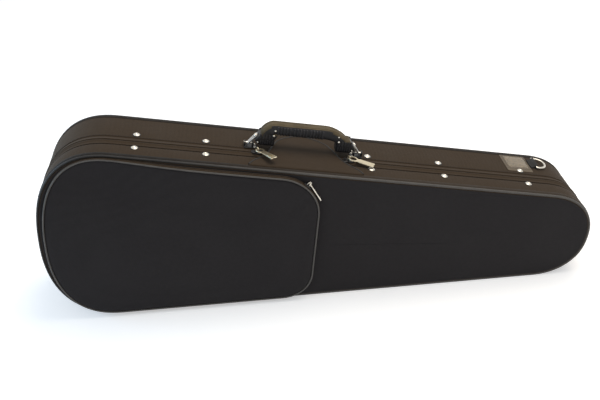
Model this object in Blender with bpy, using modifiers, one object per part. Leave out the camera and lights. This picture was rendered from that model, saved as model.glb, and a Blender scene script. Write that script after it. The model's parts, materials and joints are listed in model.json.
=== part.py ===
"""A shaped violin case, closed and standing on its hinge side.

X runs along the case from the wide end to the narrow end, -Y is the lid side and +Z is up.
The origin is on the face that the case rests on, half way through its depth. Sizes are metres.
"""

import math

import bmesh
import bpy
from mathutils import Matrix, Vector

# Clearance between neighbouring pieces, and how far a cutter runs past what it cuts
GAP = 0.0003
OVERRUN = 0.002

# Outline of the case, seen from the lid side
LENGTH = 0.79
WIDE_HALF = 0.1305
NARROW_HALF = 0.0769
WIDE_STATION_SHARE = 0.15
NARROW_STATION_SHARE = 0.85
WIDE_END_REACH = 0.1067
WIDE_END_POWER = 2.33
NARROW_END_REACH = 0.0706
NARROW_END_POWER = 2.29
WIDE_END_STEPS = 9
NARROW_END_STEPS = 7

# Shells
DEPTH = 0.12
LID_DEPTH = 0.0435
WALL = 0.007
BACK_ROUND = 0.0085
FRONT_ROUND = 0.0065
PIPING_RADIUS = 0.00175

# Zip that closes the case: a shallow recess each side of the parting holds tape and coil
BAND_WIDTH = 0.011
BAND_RECESS = 0.0014
BAND_STEP = 0.0012
TAPE_THICKNESS = 0.0008
COIL_WIDTH = 0.0025
COIL_HEIGHT = 0.0018
ZIP_END_HEIGHT = 0.02

# Sliders of the case zip and their pulls
SLIDER_LEFT_CLEARANCE = 0.0045
SLIDER_RIGHT_CLEARANCE = 0.0015
SLIDER_LENGTH = 0.016
SLIDER_WIDTH = 0.011
SLIDER_PLATE = 0.0018
SLIDER_EAR_THICKNESS = 0.0012
SLIDER_EAR_HEIGHT = 0.0052
SLIDER_EAR_LENGTH = 0.0036
SLIDER_EAR_SPACING = 0.0052
PULL_BAR_RADIUS = 0.0008
PULL_EYE_RADIUS = 0.0021
PULL_EYE_BORE = 0.00115
PULL_LENGTH = 0.037
PULL_WIDTH = 0.0085
PULL_THICKNESS = 0.0016
PULL_LEFT_YAW = math.radians(-55)
PULL_RIGHT_YAW = math.radians(-24)
PULL_LEFT_DROOP = math.radians(-10)
PULL_RIGHT_DROOP = math.radians(3)

# Rivets along the band
RIVET_RADIUS = 0.0045
RIVET_HEIGHT = 0.0019
RIVET_DIMPLE_RADIUS = 0.0014
RIVET_DIMPLE_DEPTH = 0.0005
RIVET_PLACE_SHARES = (-0.3127, -0.1962, 0.2215, 0.3797)
RIVET_HANDLE_CLEARANCE = 0.0125
RIVET_LID_DEPTH = 0.0265
RIVET_BASE_DEPTH = 0.063

# Handle, in its own frame: s along the top side, y across it, h square to it
HANDLE_PLACE_SHARE = -0.02646
HANDLE_DEPTH = 0.062
HANDLE_AXIS_HEIGHT = 0.0055
HANDLE_FOOT_SPACING = 0.158
GRIP_TOP_HEIGHT = 0.0397
GRIP_THICKNESS = 0.015
GRIP_WIDTH = 0.017
GRIP_FLAT = 0.07
GRIP_SHIFT = -0.0095
GRIP_END_SPACING = 0.107
GRIP_END_SHIFT = -0.003
GRIP_END_HEIGHT = 0.0215
CAP_OUTER_HEIGHT = 0.0137
CAP_LOW_HEIGHT = 0.0065
CAP_LOWER_CHAMFER = 0.002
CAP_WIDTH = 0.017
CAP_START = 0.015
CAP_END = 0.035
BAIL_THICKNESS = 0.0018
BAIL_SLANT = math.radians(53)
BAIL_LENGTH = 0.015
BAIL_EYE_RADIUS = 0.0038
BAIL_TOP_RADIUS = 0.0045
BAIL_RIVET_RADIUS = 0.0028
BAIL_RIVET_HEIGHT = 0.0012
FOOT_PLATE = 0.001
FOOT_TAIL = 0.004
FOOT_WIDTH = 0.016
FOOT_EAR_THICKNESS = 0.0018
FOOT_INNER_EAR = 0.006
FOOT_OUTER_EAR = 0.0034
FOOT_EAR_HALF_WIDTH = 0.003
FOOT_EAR_ABOVE_AXIS = 0.0025
PIN_RADIUS = 0.0014
PIN_BORE_CLEARANCE = 0.0003

# Bell-shaped flap over the zip, under the handle
FLAP_PLACE_SHARE = -0.02722
FLAP_START_DEPTH = 0.008
FLAP_REACH = 0.0985
FLAP_FRONT_HALF = 0.079
FLAP_THICKNESS = 0.002
FLAP_LIFT = 0.0011
FLAP_ZIP_WIDTH_SHARE = 0.665
FLAP_SHAPE_SHARES = ((0.0, 1.0), (0.12, 0.92), (0.24, 0.77), (0.36, 0.665), (0.5, 0.6), (0.65, 0.54),
                     (0.8, 0.45), (0.91, 0.31), (0.975, 0.16), (1.0, 0.0))

# Name tag holder and strap rings
TAG_FROM_PLACE_SHARE = 0.3582
TAG_TO_PLACE_SHARE = 0.4051
TAG_FROM_DEPTH = 0.069
TAG_TO_DEPTH = 0.107
TAG_FRAME_WIDTH = 0.004
TAG_FRAME_THICKNESS = 0.0015
TAG_WINDOW_THICKNESS = 0.0008
RING_BAR_PLACE_SHARE = 0.4165
RING_DEPTH = 0.085
RING_BAR_LENGTH = 0.027
RING_REACH = 0.016
RING_WIRE_RADIUS = 0.0016
RING_TAB_LENGTH = 0.004
RING_TAB_WIDTH = 0.022
RING_TAB_PLATE = 0.0012
RING_LOW_HEIGHT = 0.075

# Music pocket on the lid
POCKET_THICKNESS = 0.01
POCKET_INSET = 0.006
POCKET_END_INSET = 0.01
POCKET_EDGE_PLACE_SHARE = -0.01076
POCKET_EDGE_HEIGHT = 0.135
POCKET_EDGE_TILT = math.radians(6.5)
POCKET_TOP_CORNER = 0.06
POCKET_LOW_CORNER = 0.045
POCKET_CORNER_STEPS = 8
POCKET_GUSSET_THICKNESS = 0.0015
POCKET_PANEL_THICKNESS = 0.0025
POCKET_PIPING_RADIUS = 0.0012
POCKET_SLIDER_PLACE_SHARE = 0.42
POCKET_SLIDER_LENGTH = 0.013
POCKET_SLIDER_WIDTH = 0.006
POCKET_SLIDER_BODY = 0.002
POCKET_EAR_SPACING = 0.0032
POCKET_PULL_LENGTH = 0.032
POCKET_PULL_WIDTH = 0.0065
POCKET_PULL_TURN = math.radians(62)

# Lining, fitted bed and compartment in the base
LINING_THICKNESS = 0.002
LINING_INSET = 0.013
BED_INSET = 0.0092
BED_TOP_SETBACK = 0.004
PARTITION_PLACE_SHARE = 0.3108
PARTITION_THICKNESS = 0.005
WELL_START_SHARE = 0.038
WELL_LENGTH_SHARE = 0.4557
WELL_HALF = 0.1055
WELL_FLOOR = 0.0129
WELL_SHAPE_SHARES = ((0.0, 0.0), (0.012, 0.3), (0.05, 0.66), (0.13, 0.93), (0.23, 1.0), (0.33, 0.92),
                     (0.42, 0.7), (0.5, 0.58), (0.58, 0.6), (0.67, 0.74), (0.76, 0.81), (0.86, 0.75),
                     (0.94, 0.52), (0.988, 0.24), (1.0, 0.0))
NECK_WIDTH = 0.062
NECK_FLOOR = 0.0169
CRADLE_PLACE_SHARE = 0.1456
CRADLE_LENGTH = 0.03
CRADLE_HEIGHT = 0.026
CRADLE_NOTCH_RADIUS = 0.019
STRAP_PLACE_SHARE = 0.1266
STRAP_WIDTH = 0.025
STRAP_THICKNESS = 0.0015
STRAP_SEAT = 0.02
HATCH_THICKNESS = 0.0025
HATCH_INSET = 0.0096
HATCH_SETBACK = 0.0015
HATCH_TAB_LENGTH = 0.016
HATCH_TAB_WIDTH = 0.012
HATCH_TAB_THICKNESS = 0.001

# Hinge cloth along the parting, and the bow holders in the lid
HINGE_START_PLACE_SHARE = -0.3291
HINGE_END_PLACE_SHARE = 0.3797
BOW_CLIP_STATION = 0.11
BOW_CLIP_SPACING = 0.11
BOW_CLIP_BASE_LENGTH = 0.022
BOW_CLIP_BASE_WIDTH = 0.016
BOW_CLIP_BASE_HEIGHT = 0.006
BOW_CLIP_ARM_LENGTH = 0.034
BOW_CLIP_ARM_WIDTH = 0.009
BOW_CLIP_ARM_THICKNESS = 0.004
BOW_CLIP_POST_RADIUS = 0.0035
BOW_LOOP_STATION_SHARE = 0.86
BOW_LOOP_SPACING = 0.056
BOW_LOOP_RADIUS = 0.0095
BOW_LOOP_WIRE_RADIUS = 0.0016

# Shape shares and how finely round pieces are drawn
RIVET_CROWN_SHARE = 0.72
RIVET_SHOULDER_SHARE = 0.72
GRIP_CORNER_SHARE = 0.24
GRIP_BEND_SHARE = 0.08
GRIP_KNEE_SHARE = 0.3
GRIP_SHOULDER_SHARE = 0.3
GRIP_DROP_SHARE = 0.13
RIVET_STEPS = 12
BAIL_END_STEPS = 8
RING_STEPS = 10
LOOP_STEPS = 8
NECK_START_SHARE = 0.97
POST_FLOOR_SHARE = 0.25
SHARP_DEGREES = 35
EDGE_DEGREES = 60
MERGE_DISTANCE = 0.00001

# Places worked out from the sizes above
HANDLE_X = LENGTH * HANDLE_PLACE_SHARE
FLAP_X = LENGTH * FLAP_PLACE_SHARE
FLAP_ZIP_HALF = FLAP_FRONT_HALF * FLAP_ZIP_WIDTH_SHARE
SLIDER_LEFT_X = FLAP_X - FLAP_ZIP_HALF - SLIDER_LEFT_CLEARANCE - SLIDER_LENGTH / 2
SLIDER_RIGHT_X = FLAP_X + FLAP_ZIP_HALF + SLIDER_RIGHT_CLEARANCE + SLIDER_LENGTH / 2
RIVET_BESIDE_HANDLE_X = HANDLE_X + HANDLE_FOOT_SPACING / 2 + RIVET_HANDLE_CLEARANCE
RIVET_PLACES = sorted([LENGTH * share for share in RIVET_PLACE_SHARES] + [RIVET_BESIDE_HANDLE_X])
TAG_FROM_X = LENGTH * TAG_FROM_PLACE_SHARE
TAG_TO_X = LENGTH * TAG_TO_PLACE_SHARE
RING_BAR_X = LENGTH * RING_BAR_PLACE_SHARE
POCKET_EDGE_X = LENGTH * POCKET_EDGE_PLACE_SHARE
PARTITION_X = LENGTH * PARTITION_PLACE_SHARE
WELL_START = LENGTH * WELL_START_SHARE
WELL_LENGTH = LENGTH * WELL_LENGTH_SHARE
CRADLE_X = LENGTH * CRADLE_PLACE_SHARE
STRAP_X = LENGTH * STRAP_PLACE_SHARE
HINGE_START_X = LENGTH * HINGE_START_PLACE_SHARE
HINGE_END_X = LENGTH * HINGE_END_PLACE_SHARE
FRONT_Y = -DEPTH / 2
BACK_Y = DEPTH / 2
PARTING_Y = FRONT_Y + LID_DEPTH
FLOOR_Y = BACK_Y - WALL
CEILING_Y = FRONT_Y + WALL


def clear_scene():
    for item in list(bpy.data.objects):
        bpy.data.objects.remove(item)


def collection(name):
    made = bpy.data.collections.new(name)
    bpy.context.scene.collection.children.link(made)
    return made


def material(name, colour, roughness, metallic=0.0):
    made = bpy.data.materials.new(name)
    made.use_nodes = True
    shader = made.node_tree.nodes["Principled BSDF"]
    shader.inputs["Base Color"].default_value = (*colour, 1.0)
    shader.inputs["Roughness"].default_value = roughness
    shader.inputs["Metallic"].default_value = metallic
    return made


def half_width(station):
    rise = (NARROW_HALF - WIDE_HALF) / ((NARROW_STATION_SHARE - WIDE_STATION_SHARE) * LENGTH)
    return WIDE_HALF + rise * (station - WIDE_STATION_SHARE * LENGTH)


TAPER = math.atan((WIDE_HALF - NARROW_HALF) / ((NARROW_STATION_SHARE - WIDE_STATION_SHARE) * LENGTH))
TOP_SLOPE = 2 * TAPER
AXIS_LIFT = math.sin(TAPER) * WIDE_STATION_SHARE * LENGTH + math.cos(TAPER) * WIDE_HALF


def at(station, across):
    """Turns a place along and across the case's axis into x and z, with the hinge side level at z = 0."""
    x = (station - LENGTH / 2) * math.cos(TAPER) + across * math.sin(TAPER)
    z = AXIS_LIFT - station * math.sin(TAPER) + across * math.cos(TAPER)
    return Vector((x, z))


def end_curve(reach, power, steps):
    """Shares of a quarter of a superellipse, from the end's tip to where the straight side starts."""
    for step in range(steps + 1):
        turn = math.pi / 2 * step / steps
        yield reach * (1 - math.cos(turn) ** (2 / power)), math.sin(turn) ** (2 / power)


def outline():
    """The case's outline from the lower wide corner, over the top, to the lower narrow corner."""
    wide = [(u, half_width(u) * share) for u, share in end_curve(WIDE_END_REACH, WIDE_END_POWER, WIDE_END_STEPS)]
    narrow = [
        (LENGTH - u, half_width(LENGTH - u) * share)
        for u, share in end_curve(NARROW_END_REACH, NARROW_END_POWER, NARROW_END_STEPS)
    ]
    places = [(u, -v) for u, v in reversed(wide[1:])] + wide + narrow[::-1] + [(u, -v) for u, v in narrow[1:]]
    return [at(u, v) for u, v in places]


def grown(points, distance):
    """A closed outline moved outward by a distance, or inward by a negative one."""
    middle = sum(points, Vector((0, 0))) / len(points)
    moved = []
    for index, point in enumerate(points):
        before = (point - points[index - 1]).normalized()
        after = (points[(index + 1) % len(points)] - point).normalized()
        sides = [Vector((-way.y, way.x)) for way in (before, after)]
        if sides[0].dot(point - middle) + sides[1].dot(point - middle) < 0:
            sides = [-side for side in sides]
        moved.append(point + (sides[0] + sides[1]) * distance / (1 + sides[0].dot(sides[1])))
    return moved


def between(points, low_x, high_x):
    """The part of a closed outline that lies between two places along X."""
    for limit, sign in ((low_x, 1), (high_x, -1)):
        kept = []
        for index, point in enumerate(points):
            last = points[index - 1]
            if (last.x - limit) * (point.x - limit) < 0:
                kept.append(last.lerp(point, (limit - last.x) / (point.x - last.x)))
            if (point.x - limit) * sign >= 0:
                kept.append(point)
        points = kept
    return points


def top_height(x):
    start = at(0, half_width(0))
    return start.y - (x - start.x) * math.tan(TOP_SLOPE)


def on_top(x, depth):
    """A frame on the top side: X along its slope, Y through the case, Z square to it."""
    place = Vector((x, FRONT_Y + depth, top_height(x)))
    return Matrix.Translation(place) @ Matrix.Rotation(TOP_SLOPE, 4, "Y")


def finish(name, shape, look, frame=None, smooth=False):
    """Makes an object of a bmesh, with its faces turned out, in the case's collection."""
    bmesh.ops.recalc_face_normals(shape, faces=shape.faces)
    mesh = bpy.data.meshes.new(name)
    shape.to_mesh(mesh)
    shape.free()
    if smooth:
        mesh.shade_smooth()
        mesh.set_sharp_from_angle(angle=math.radians(SHARP_DEGREES))
    made = bpy.data.objects.new(name, mesh)
    made.matrix_world = frame or Matrix.Identity(4)
    mesh.materials.append(look)
    PARTS.objects.link(made)
    return made


def loft(name, rings, look, frame=None, round_the_path=False, caps=True):
    """Joins rings of points with faces, and closes both ends unless the path closes on itself."""
    shape = bmesh.new()
    rows = [[shape.verts.new(point) for point in ring] for ring in rings]
    count = len(rows[0])
    last = len(rows) if round_the_path else len(rows) - 1
    for index in range(last):
        row = rows[index]
        following = rows[(index + 1) % len(rows)]
        for side in range(count):
            after = (side + 1) % count
            shape.faces.new((row[side], row[after], following[after], following[side]))
    if caps and not round_the_path:
        shape.faces.new(rows[0])
        shape.faces.new(rows[-1])
    return finish(name, shape, look, frame, smooth=True)


def slab(name, points, low_y, high_y, look, frame=None):
    """A flat piece: an outline in x and z, from one y to another."""
    rings = [[(point.x, y, point.y) for point in points] for y in (low_y, high_y)]
    return loft(name, rings, look, frame)


def sheet(name, points, low_z, high_z, look, frame=None):
    """A flat piece that lies on a frame: an outline in x and y, from one height to another."""
    rings = [[(x, y, z) for x, y in points] for z in (low_z, high_z)]
    return loft(name, rings, look, frame)


def wall_strip(name, path, keep, low, high, low_y, high_y, look, closed=False):
    """A band that follows an outline between two offsets, over the points that keep selects."""
    inner = grown(path, low)
    outer = grown(path, high)
    rings = [
        ((a.x, low_y, a.y), (a.x, high_y, a.y), (b.x, high_y, b.y), (b.x, low_y, b.y))
        for place, a, b in zip(path, inner, outer)
        if keep(place)
    ]
    return loft(name, rings, look, round_the_path=closed)


def box(name, low, high, look, frame=None):
    shape = bmesh.new()
    bmesh.ops.create_cube(shape, size=1)
    low = Vector(low)
    high = Vector(high)
    for corner in shape.verts:
        shares = corner.co + Vector((0.5, 0.5, 0.5))
        corner.co = Vector([low[i] + (high[i] - low[i]) * shares[i] for i in range(3)])
    return finish(name, shape, look, frame)


def rod(name, radius, start, end, look, frame=None, segments=16):
    """A round bar between two points."""
    start = Vector(start)
    end = Vector(end)
    shape = bmesh.new()
    turn = (end - start).to_track_quat("Z", "Y").to_matrix().to_4x4()
    bmesh.ops.create_cone(
        shape,
        cap_ends=True,
        segments=segments,
        radius1=radius,
        radius2=radius,
        depth=(end - start).length,
        matrix=Matrix.Translation((start + end) / 2) @ turn,
    )
    return finish(name, shape, look, frame, smooth=True)


def tube(name, points, radius, look, frame=None, closed=False, sides_share=2):
    """A round wire along points."""
    data = bpy.data.curves.new(name, "CURVE")
    data.dimensions = "3D"
    line = data.splines.new("POLY")
    line.points.add(len(points) - 1)
    for knot, point in zip(line.points, points):
        knot.co = (*point, 1)
    line.use_cyclic_u = closed
    data.bevel_depth = radius
    data.bevel_resolution = sides_share
    data.use_fill_caps = not closed
    data.materials.append(look)
    made = bpy.data.objects.new(name, data)
    made.matrix_world = frame or Matrix.Identity(4)
    PARTS.objects.link(made)
    return made


def helper(piece):
    """Keeps a shape that only cuts or adds to another out of the part."""
    PARTS.objects.unlink(piece)
    CUTTERS.objects.link(piece)
    piece.hide_render = True
    piece.display_type = "WIRE"
    return piece


def combine(piece, operation, other):
    change = piece.modifiers.new(other.name, "BOOLEAN")
    change.operation = operation
    change.object = helper(other)
    return piece


def cut(piece, cutter):
    return combine(piece, "DIFFERENCE", cutter)


def add(piece, other):
    return combine(piece, "UNION", other)


def shell(name, face_y, edge_round, inward, look):
    """Half of the case: a face, its wall with the zip's recess, and an open rim at the parting."""
    full = outline()
    sunk = grown(full, -BAND_RECESS)
    rim_y = PARTING_Y + inward * GAP / 2
    band_y = PARTING_Y + inward * BAND_WIDTH
    rings = (
        (full, face_y),
        (full, band_y),
        (sunk, band_y - inward * BAND_STEP),
        (sunk, rim_y),
    )
    shape = bmesh.new()
    rows = [[shape.verts.new((point.x, y, point.y)) for point in path] for path, y in rings]
    shape.faces.new(rows[0])
    for row, following in zip(rows, rows[1:]):
        for side in range(len(row)):
            after = (side + 1) % len(row)
            shape.faces.new((row[side], row[after], following[after], following[side]))
    made = finish(name, shape, look)
    edge = made.modifiers.new("edge", "BEVEL")
    edge.width = edge_round
    edge.segments = 1
    edge.limit_method = "ANGLE"
    edge.angle_limit = math.radians(EDGE_DEGREES)
    wall = made.modifiers.new("wall", "SOLIDIFY")
    wall.thickness = WALL
    wall.offset = -1
    wall.use_even_offset = True
    return made


def edge_piping(name, face_y, edge_round, inward, look):
    """The welt that lies in the bevelled edge, clear of both planes that meet there."""
    inset = (edge_round / math.sqrt(2) - PIPING_RADIUS - GAP) / math.sqrt(2)
    path = grown(outline(), -inset)
    y = face_y + inward * inset
    return tube(name, [(point.x, y, point.y) for point in path], PIPING_RADIUS, look, closed=True)


def zip_half(prefix, inward, looks):
    """Tape and coil of one half of the case zip, sunk in the recess beside the parting."""
    path = outline()
    seat = -BAND_RECESS + GAP
    coil_y = PARTING_Y + inward * GAP / 2
    tape_y = coil_y + inward * (COIL_WIDTH + GAP)
    end_y = PARTING_Y + inward * (BAND_WIDTH - BAND_STEP - GAP)
    wall_strip(prefix + "_zip_tape", path, above_zip_end, seat, seat + TAPE_THICKNESS,
               tape_y, end_y, looks["tape"])
    wall_strip(prefix + "_zip_coil", path, above_zip_end, seat, seat + COIL_HEIGHT,
               coil_y, coil_y + inward * COIL_WIDTH, looks["coil"])


def above_zip_end(place):
    return place.y > ZIP_END_HEIGHT


def hinge_cloth(name, inward, look):
    """Half of the hinge cloth, in the recess on the side that the case stands on."""
    start_y = PARTING_Y + inward * GAP / 2
    end_y = PARTING_Y + inward * (BAND_WIDTH - BAND_STEP - GAP)
    low_y, high_y = sorted((start_y, end_y))
    return box(name, (HINGE_START_X, low_y, BAND_RECESS - GAP - TAPE_THICKNESS),
               (HINGE_END_X, high_y, BAND_RECESS - GAP), look)


def rivet(name, x, depth, look):
    """A domed rivet head with a dimple, turned about its own axis."""
    dimple = RIVET_DIMPLE_RADIUS
    foot = GAP
    profile = (
        (0, foot + RIVET_HEIGHT - RIVET_DIMPLE_DEPTH),
        (dimple, foot + RIVET_HEIGHT),
        (RIVET_RADIUS * RIVET_CROWN_SHARE, foot + RIVET_HEIGHT * RIVET_SHOULDER_SHARE),
        (RIVET_RADIUS, foot),
        (0, foot),
    )
    shape = bmesh.new()
    corners = [shape.verts.new((radius, 0, height)) for radius, height in profile]
    for start, end in zip(corners, corners[1:]):
        shape.edges.new((start, end))
    mesh = bpy.data.meshes.new(name)
    shape.to_mesh(mesh)
    shape.free()
    mesh.materials.append(look)
    made = bpy.data.objects.new(name, mesh)
    made.matrix_world = on_top(x, depth)
    PARTS.objects.link(made)
    turned = made.modifiers.new("turned", "SCREW")
    turned.steps = RIVET_STEPS
    turned.render_steps = RIVET_STEPS
    turned.use_merge_vertices = True
    turned.merge_threshold = MERGE_DISTANCE
    return made


def rivets(prefix, depth, look):
    for number, x in enumerate(RIVET_PLACES, start=1):
        rivet(f"{prefix}_rivet_{number}", x, depth, look)


def case_slider(name, x, look):
    """A slider straddles both coils: a plate, a flange on the base side and a bar for the pull."""
    frame = on_top(x, LID_DEPTH)
    low = COIL_HEIGHT - BAND_RECESS + 2 * GAP
    top = low + SLIDER_PLATE
    half = SLIDER_LENGTH / 2
    side = SLIDER_WIDTH / 2
    body = box(name, (-half, -side, low), (half, side, top), look, frame)
    flange_y = COIL_WIDTH + 2 * GAP
    add(body, box(name + "_flange", (-half, flange_y, GAP), (half, side, top), look, frame))
    yaw = PULL_LEFT_YAW if x < FLAP_X else PULL_RIGHT_YAW
    return pull_bar(body, SLIDER_EAR_SPACING, frame @ Matrix.Rotation(yaw, 4, "Z"), low, top, look)


def pull_bar(body, spacing, frame, low, top, look):
    """Adds two ears and a bar to a slider, and gives the frame of the bar that the pull hangs on."""
    ear_y = spacing / 2
    bar_height = top + SLIDER_EAR_HEIGHT - SLIDER_EAR_LENGTH / 2
    for label, sign in (("_ear_a", -1), ("_ear_b", 1)):
        ends = sorted((sign * ear_y, sign * (ear_y + SLIDER_EAR_THICKNESS)))
        add(body, box(body.name + label, (-SLIDER_EAR_LENGTH / 2, ends[0], low),
                      (SLIDER_EAR_LENGTH / 2, ends[1], top + SLIDER_EAR_HEIGHT), look, frame))
    reach = ear_y + SLIDER_EAR_THICKNESS / 2
    add(body, rod(body.name + "_bar", PULL_BAR_RADIUS, (0, -reach, bar_height), (0, reach, bar_height),
                  look, frame, segments=10))
    return frame @ Matrix.Translation((0, 0, bar_height))


def pull(name, length, width, spacing, frame, look):
    """A zip pull: an eye round the slider's bar, and a tongue along the frame's X axis."""
    eye_half = spacing / 2 - GAP
    body = rod(name, PULL_EYE_RADIUS, (0, -eye_half, 0), (0, eye_half, 0), look, frame)
    tongue = box(name + "_tongue", (0, -eye_half, -PULL_THICKNESS / 2),
                 (PULL_EYE_RADIUS * 2, eye_half, PULL_THICKNESS / 2), look, frame)
    blade = box(name + "_blade", (PULL_EYE_RADIUS * 2 - GAP, -width / 2, -PULL_THICKNESS / 2),
                (length, width / 2, PULL_THICKNESS / 2), look, frame)
    add(body, tongue)
    add(body, blade)
    cut(body, rod(name + "_bore", PULL_EYE_BORE, (0, -eye_half - OVERRUN, 0),
                  (0, eye_half + OVERRUN, 0), look, frame))
    return body


def case_sliders(look):
    sides = (("left", SLIDER_LEFT_X, PULL_LEFT_DROOP), ("right", SLIDER_RIGHT_X, PULL_RIGHT_DROOP))
    for side, x, droop in sides:
        bar = case_slider(f"zip_slider_{side}", x, look)
        pull(f"zip_pull_{side}", PULL_LENGTH, PULL_WIDTH, SLIDER_EAR_SPACING,
             bar @ Matrix.Rotation(droop, 4, "Y"), look)


def flap(look):
    """The bell-shaped flap: sewn to the lid, over the zip, and under the handle."""
    reach = FLAP_REACH - FLAP_START_DEPTH
    side = [(share * reach, half_share * FLAP_FRONT_HALF) for share, half_share in FLAP_SHAPE_SHARES]
    points = [(-half, depth) for depth, half in side] + [(half, depth) for depth, half in side[-2::-1]]
    return sheet("zip_flap", points, FLAP_LIFT, FLAP_LIFT + FLAP_THICKNESS, look,
                 on_top(FLAP_X, FLAP_START_DEPTH))


def handle_frame():
    """The handle's frame: on the line that it swings about, half way between its feet."""
    return on_top(HANDLE_X, HANDLE_DEPTH) @ Matrix.Translation((0, 0, HANDLE_AXIS_HEIGHT))


def bent_bar(name, stations, thickness, width, look, frame):
    """A bar with chamfered edges through stations of place, height and direction."""
    half = thickness / 2
    side = width / 2
    corner = thickness * GRIP_CORNER_SHARE
    section = ((half, side - corner), (half - corner, side), (corner - half, side), (-half, side - corner),
               (-half, corner - side), (corner - half, -side), (half - corner, -side), (half, corner - side))
    rings = [
        [(s - up * math.sin(way), y, h + up * math.cos(way)) for up, y in section]
        for s, h, way in stations
    ]
    return loft(name, rings, look, frame)


def grip_half(flat, reach):
    """Half of the grip's line: up out of an end block, over a shoulder, to the flat's end."""
    middle = GRIP_TOP_HEIGHT - GRIP_THICKNESS / 2 - HANDLE_AXIS_HEIGHT
    end = GRIP_END_HEIGHT - HANDLE_AXIS_HEIGHT
    return [
        (-reach, end, math.radians(90)),
        (-reach + (reach - flat) * GRIP_BEND_SHARE, end + (middle - end) * GRIP_KNEE_SHARE, math.radians(62)),
        (-flat - (reach - flat) * GRIP_SHOULDER_SHARE, middle - (middle - end) * GRIP_DROP_SHARE,
         math.radians(28)),
        (-flat, middle, 0.0),
    ]


def grip(look):
    left = grip_half(GRIP_FLAT / 2 - GRIP_SHIFT, GRIP_END_SPACING / 2 - GRIP_END_SHIFT)
    right = grip_half(GRIP_FLAT / 2 + GRIP_SHIFT, GRIP_END_SPACING / 2 + GRIP_END_SHIFT)
    stations = left + [(-s, h, -way) for s, h, way in reversed(right)]
    return bent_bar("handle_grip", stations, GRIP_THICKNESS, GRIP_WIDTH, look, handle_frame())


def bail_frame(sign):
    """The frame of a bail: at its pin, X along the plate towards the grip, Z out of the plate."""
    mirrored = handle_frame() if sign < 0 else handle_frame() @ Matrix.Rotation(math.pi, 4, "Z")
    foot = Matrix.Translation((-HANDLE_FOOT_SPACING / 2, 0, 0))
    return mirrored @ foot @ Matrix.Rotation(-BAIL_SLANT, 4, "Y"), mirrored @ foot


def bail(side, sign, looks):
    """A steel plate from the foot's pin to the grip's end block, and the rivet that holds them."""
    frame, upright = bail_frame(sign)
    points = [(BAIL_EYE_RADIUS * math.cos(turn), BAIL_EYE_RADIUS * math.sin(turn))
              for turn in half_turn(math.pi / 2)]
    points += [(BAIL_LENGTH + BAIL_TOP_RADIUS * math.cos(turn), BAIL_TOP_RADIUS * math.sin(turn))
               for turn in half_turn(-math.pi / 2)]
    plate = sheet(f"handle_bail_{side}", points, -BAIL_THICKNESS / 2, BAIL_THICKNESS / 2,
                  looks["steel"], frame)
    bore = PIN_RADIUS + PIN_BORE_CLEARANCE
    reach = BAIL_EYE_RADIUS + OVERRUN
    cut(plate, rod(f"handle_bail_{side}_bore", bore, (-reach, 0, 0), (reach, 0, 0),
                   looks["steel"], upright))
    low = BAIL_THICKNESS / 2 + GAP
    rod(f"handle_rivet_{side}", BAIL_RIVET_RADIUS, (BAIL_LENGTH, 0, low),
        (BAIL_LENGTH, 0, low + BAIL_RIVET_HEIGHT), looks["nickel"], frame)


def half_turn(start):
    return [start + math.pi * step / BAIL_END_STEPS for step in range(BAIL_END_STEPS + 1)]


def end_block(side, sign, look):
    """The moulded block at the grip's end, whose outer face lies along the bail."""
    upright = bail_frame(sign)[1]
    low = CAP_LOW_HEIGHT - HANDLE_AXIS_HEIGHT
    outer = CAP_OUTER_HEIGHT - HANDLE_AXIS_HEIGHT
    high = GRIP_END_HEIGHT - HANDLE_AXIS_HEIGHT - GAP
    offset = (BAIL_THICKNESS / 2 + GAP) / math.sin(BAIL_SLANT)
    start = offset + outer / math.tan(BAIL_SLANT)
    top = offset + high / math.tan(BAIL_SLANT)
    half = CAP_WIDTH / 2
    rings = []
    for y in (-half, CAP_LOWER_CHAMFER - half, half - CAP_LOWER_CHAMFER, half):
        bottom = low + CAP_LOWER_CHAMFER if abs(y) == half else low
        rings.append([(start, y, outer), (CAP_START, y, bottom), (CAP_END, y, bottom),
                      (CAP_END, y, high), (top, y, high)])
    return loft(f"handle_end_{side}", rings, look, upright)


def handle_foot(side, sign, looks):
    """A foot plate on the base with two ears, and the pin through them."""
    upright = bail_frame(sign)[1]
    under = -HANDLE_AXIS_HEIGHT + GAP
    plate_top = under + FOOT_PLATE
    name = f"handle_foot_{side}"
    half = FOOT_WIDTH / 2
    inner = FOOT_INNER_EAR + FOOT_EAR_THICKNESS
    outer = -FOOT_OUTER_EAR - FOOT_EAR_THICKNESS
    foot = box(name, (outer, -half, under), (inner + FOOT_TAIL, half, plate_top), looks["steel"], upright)
    ear = FOOT_EAR_HALF_WIDTH
    for label, low_s in (("_ear_in", FOOT_INNER_EAR), ("_ear_out", outer)):
        add(foot, box(name + label, (low_s, -ear, under),
                      (low_s + FOOT_EAR_THICKNESS, ear, FOOT_EAR_ABOVE_AXIS), looks["steel"], upright))
    bore = PIN_RADIUS + GAP
    cut(foot, rod(name + "_bore", bore, (outer - OVERRUN, 0, 0), (inner + OVERRUN, 0, 0),
                  looks["steel"], upright))
    rod(f"handle_pin_{side}", PIN_RADIUS, (outer, 0, 0), (inner, 0, 0), looks["nickel"], upright)


def handle(looks):
    grip(looks["moulding"])
    for side, sign in (("left", -1), ("right", 1)):
        end_block(side, sign, looks["moulding"])
        bail(side, sign, looks)
        handle_foot(side, sign, looks)


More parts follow.
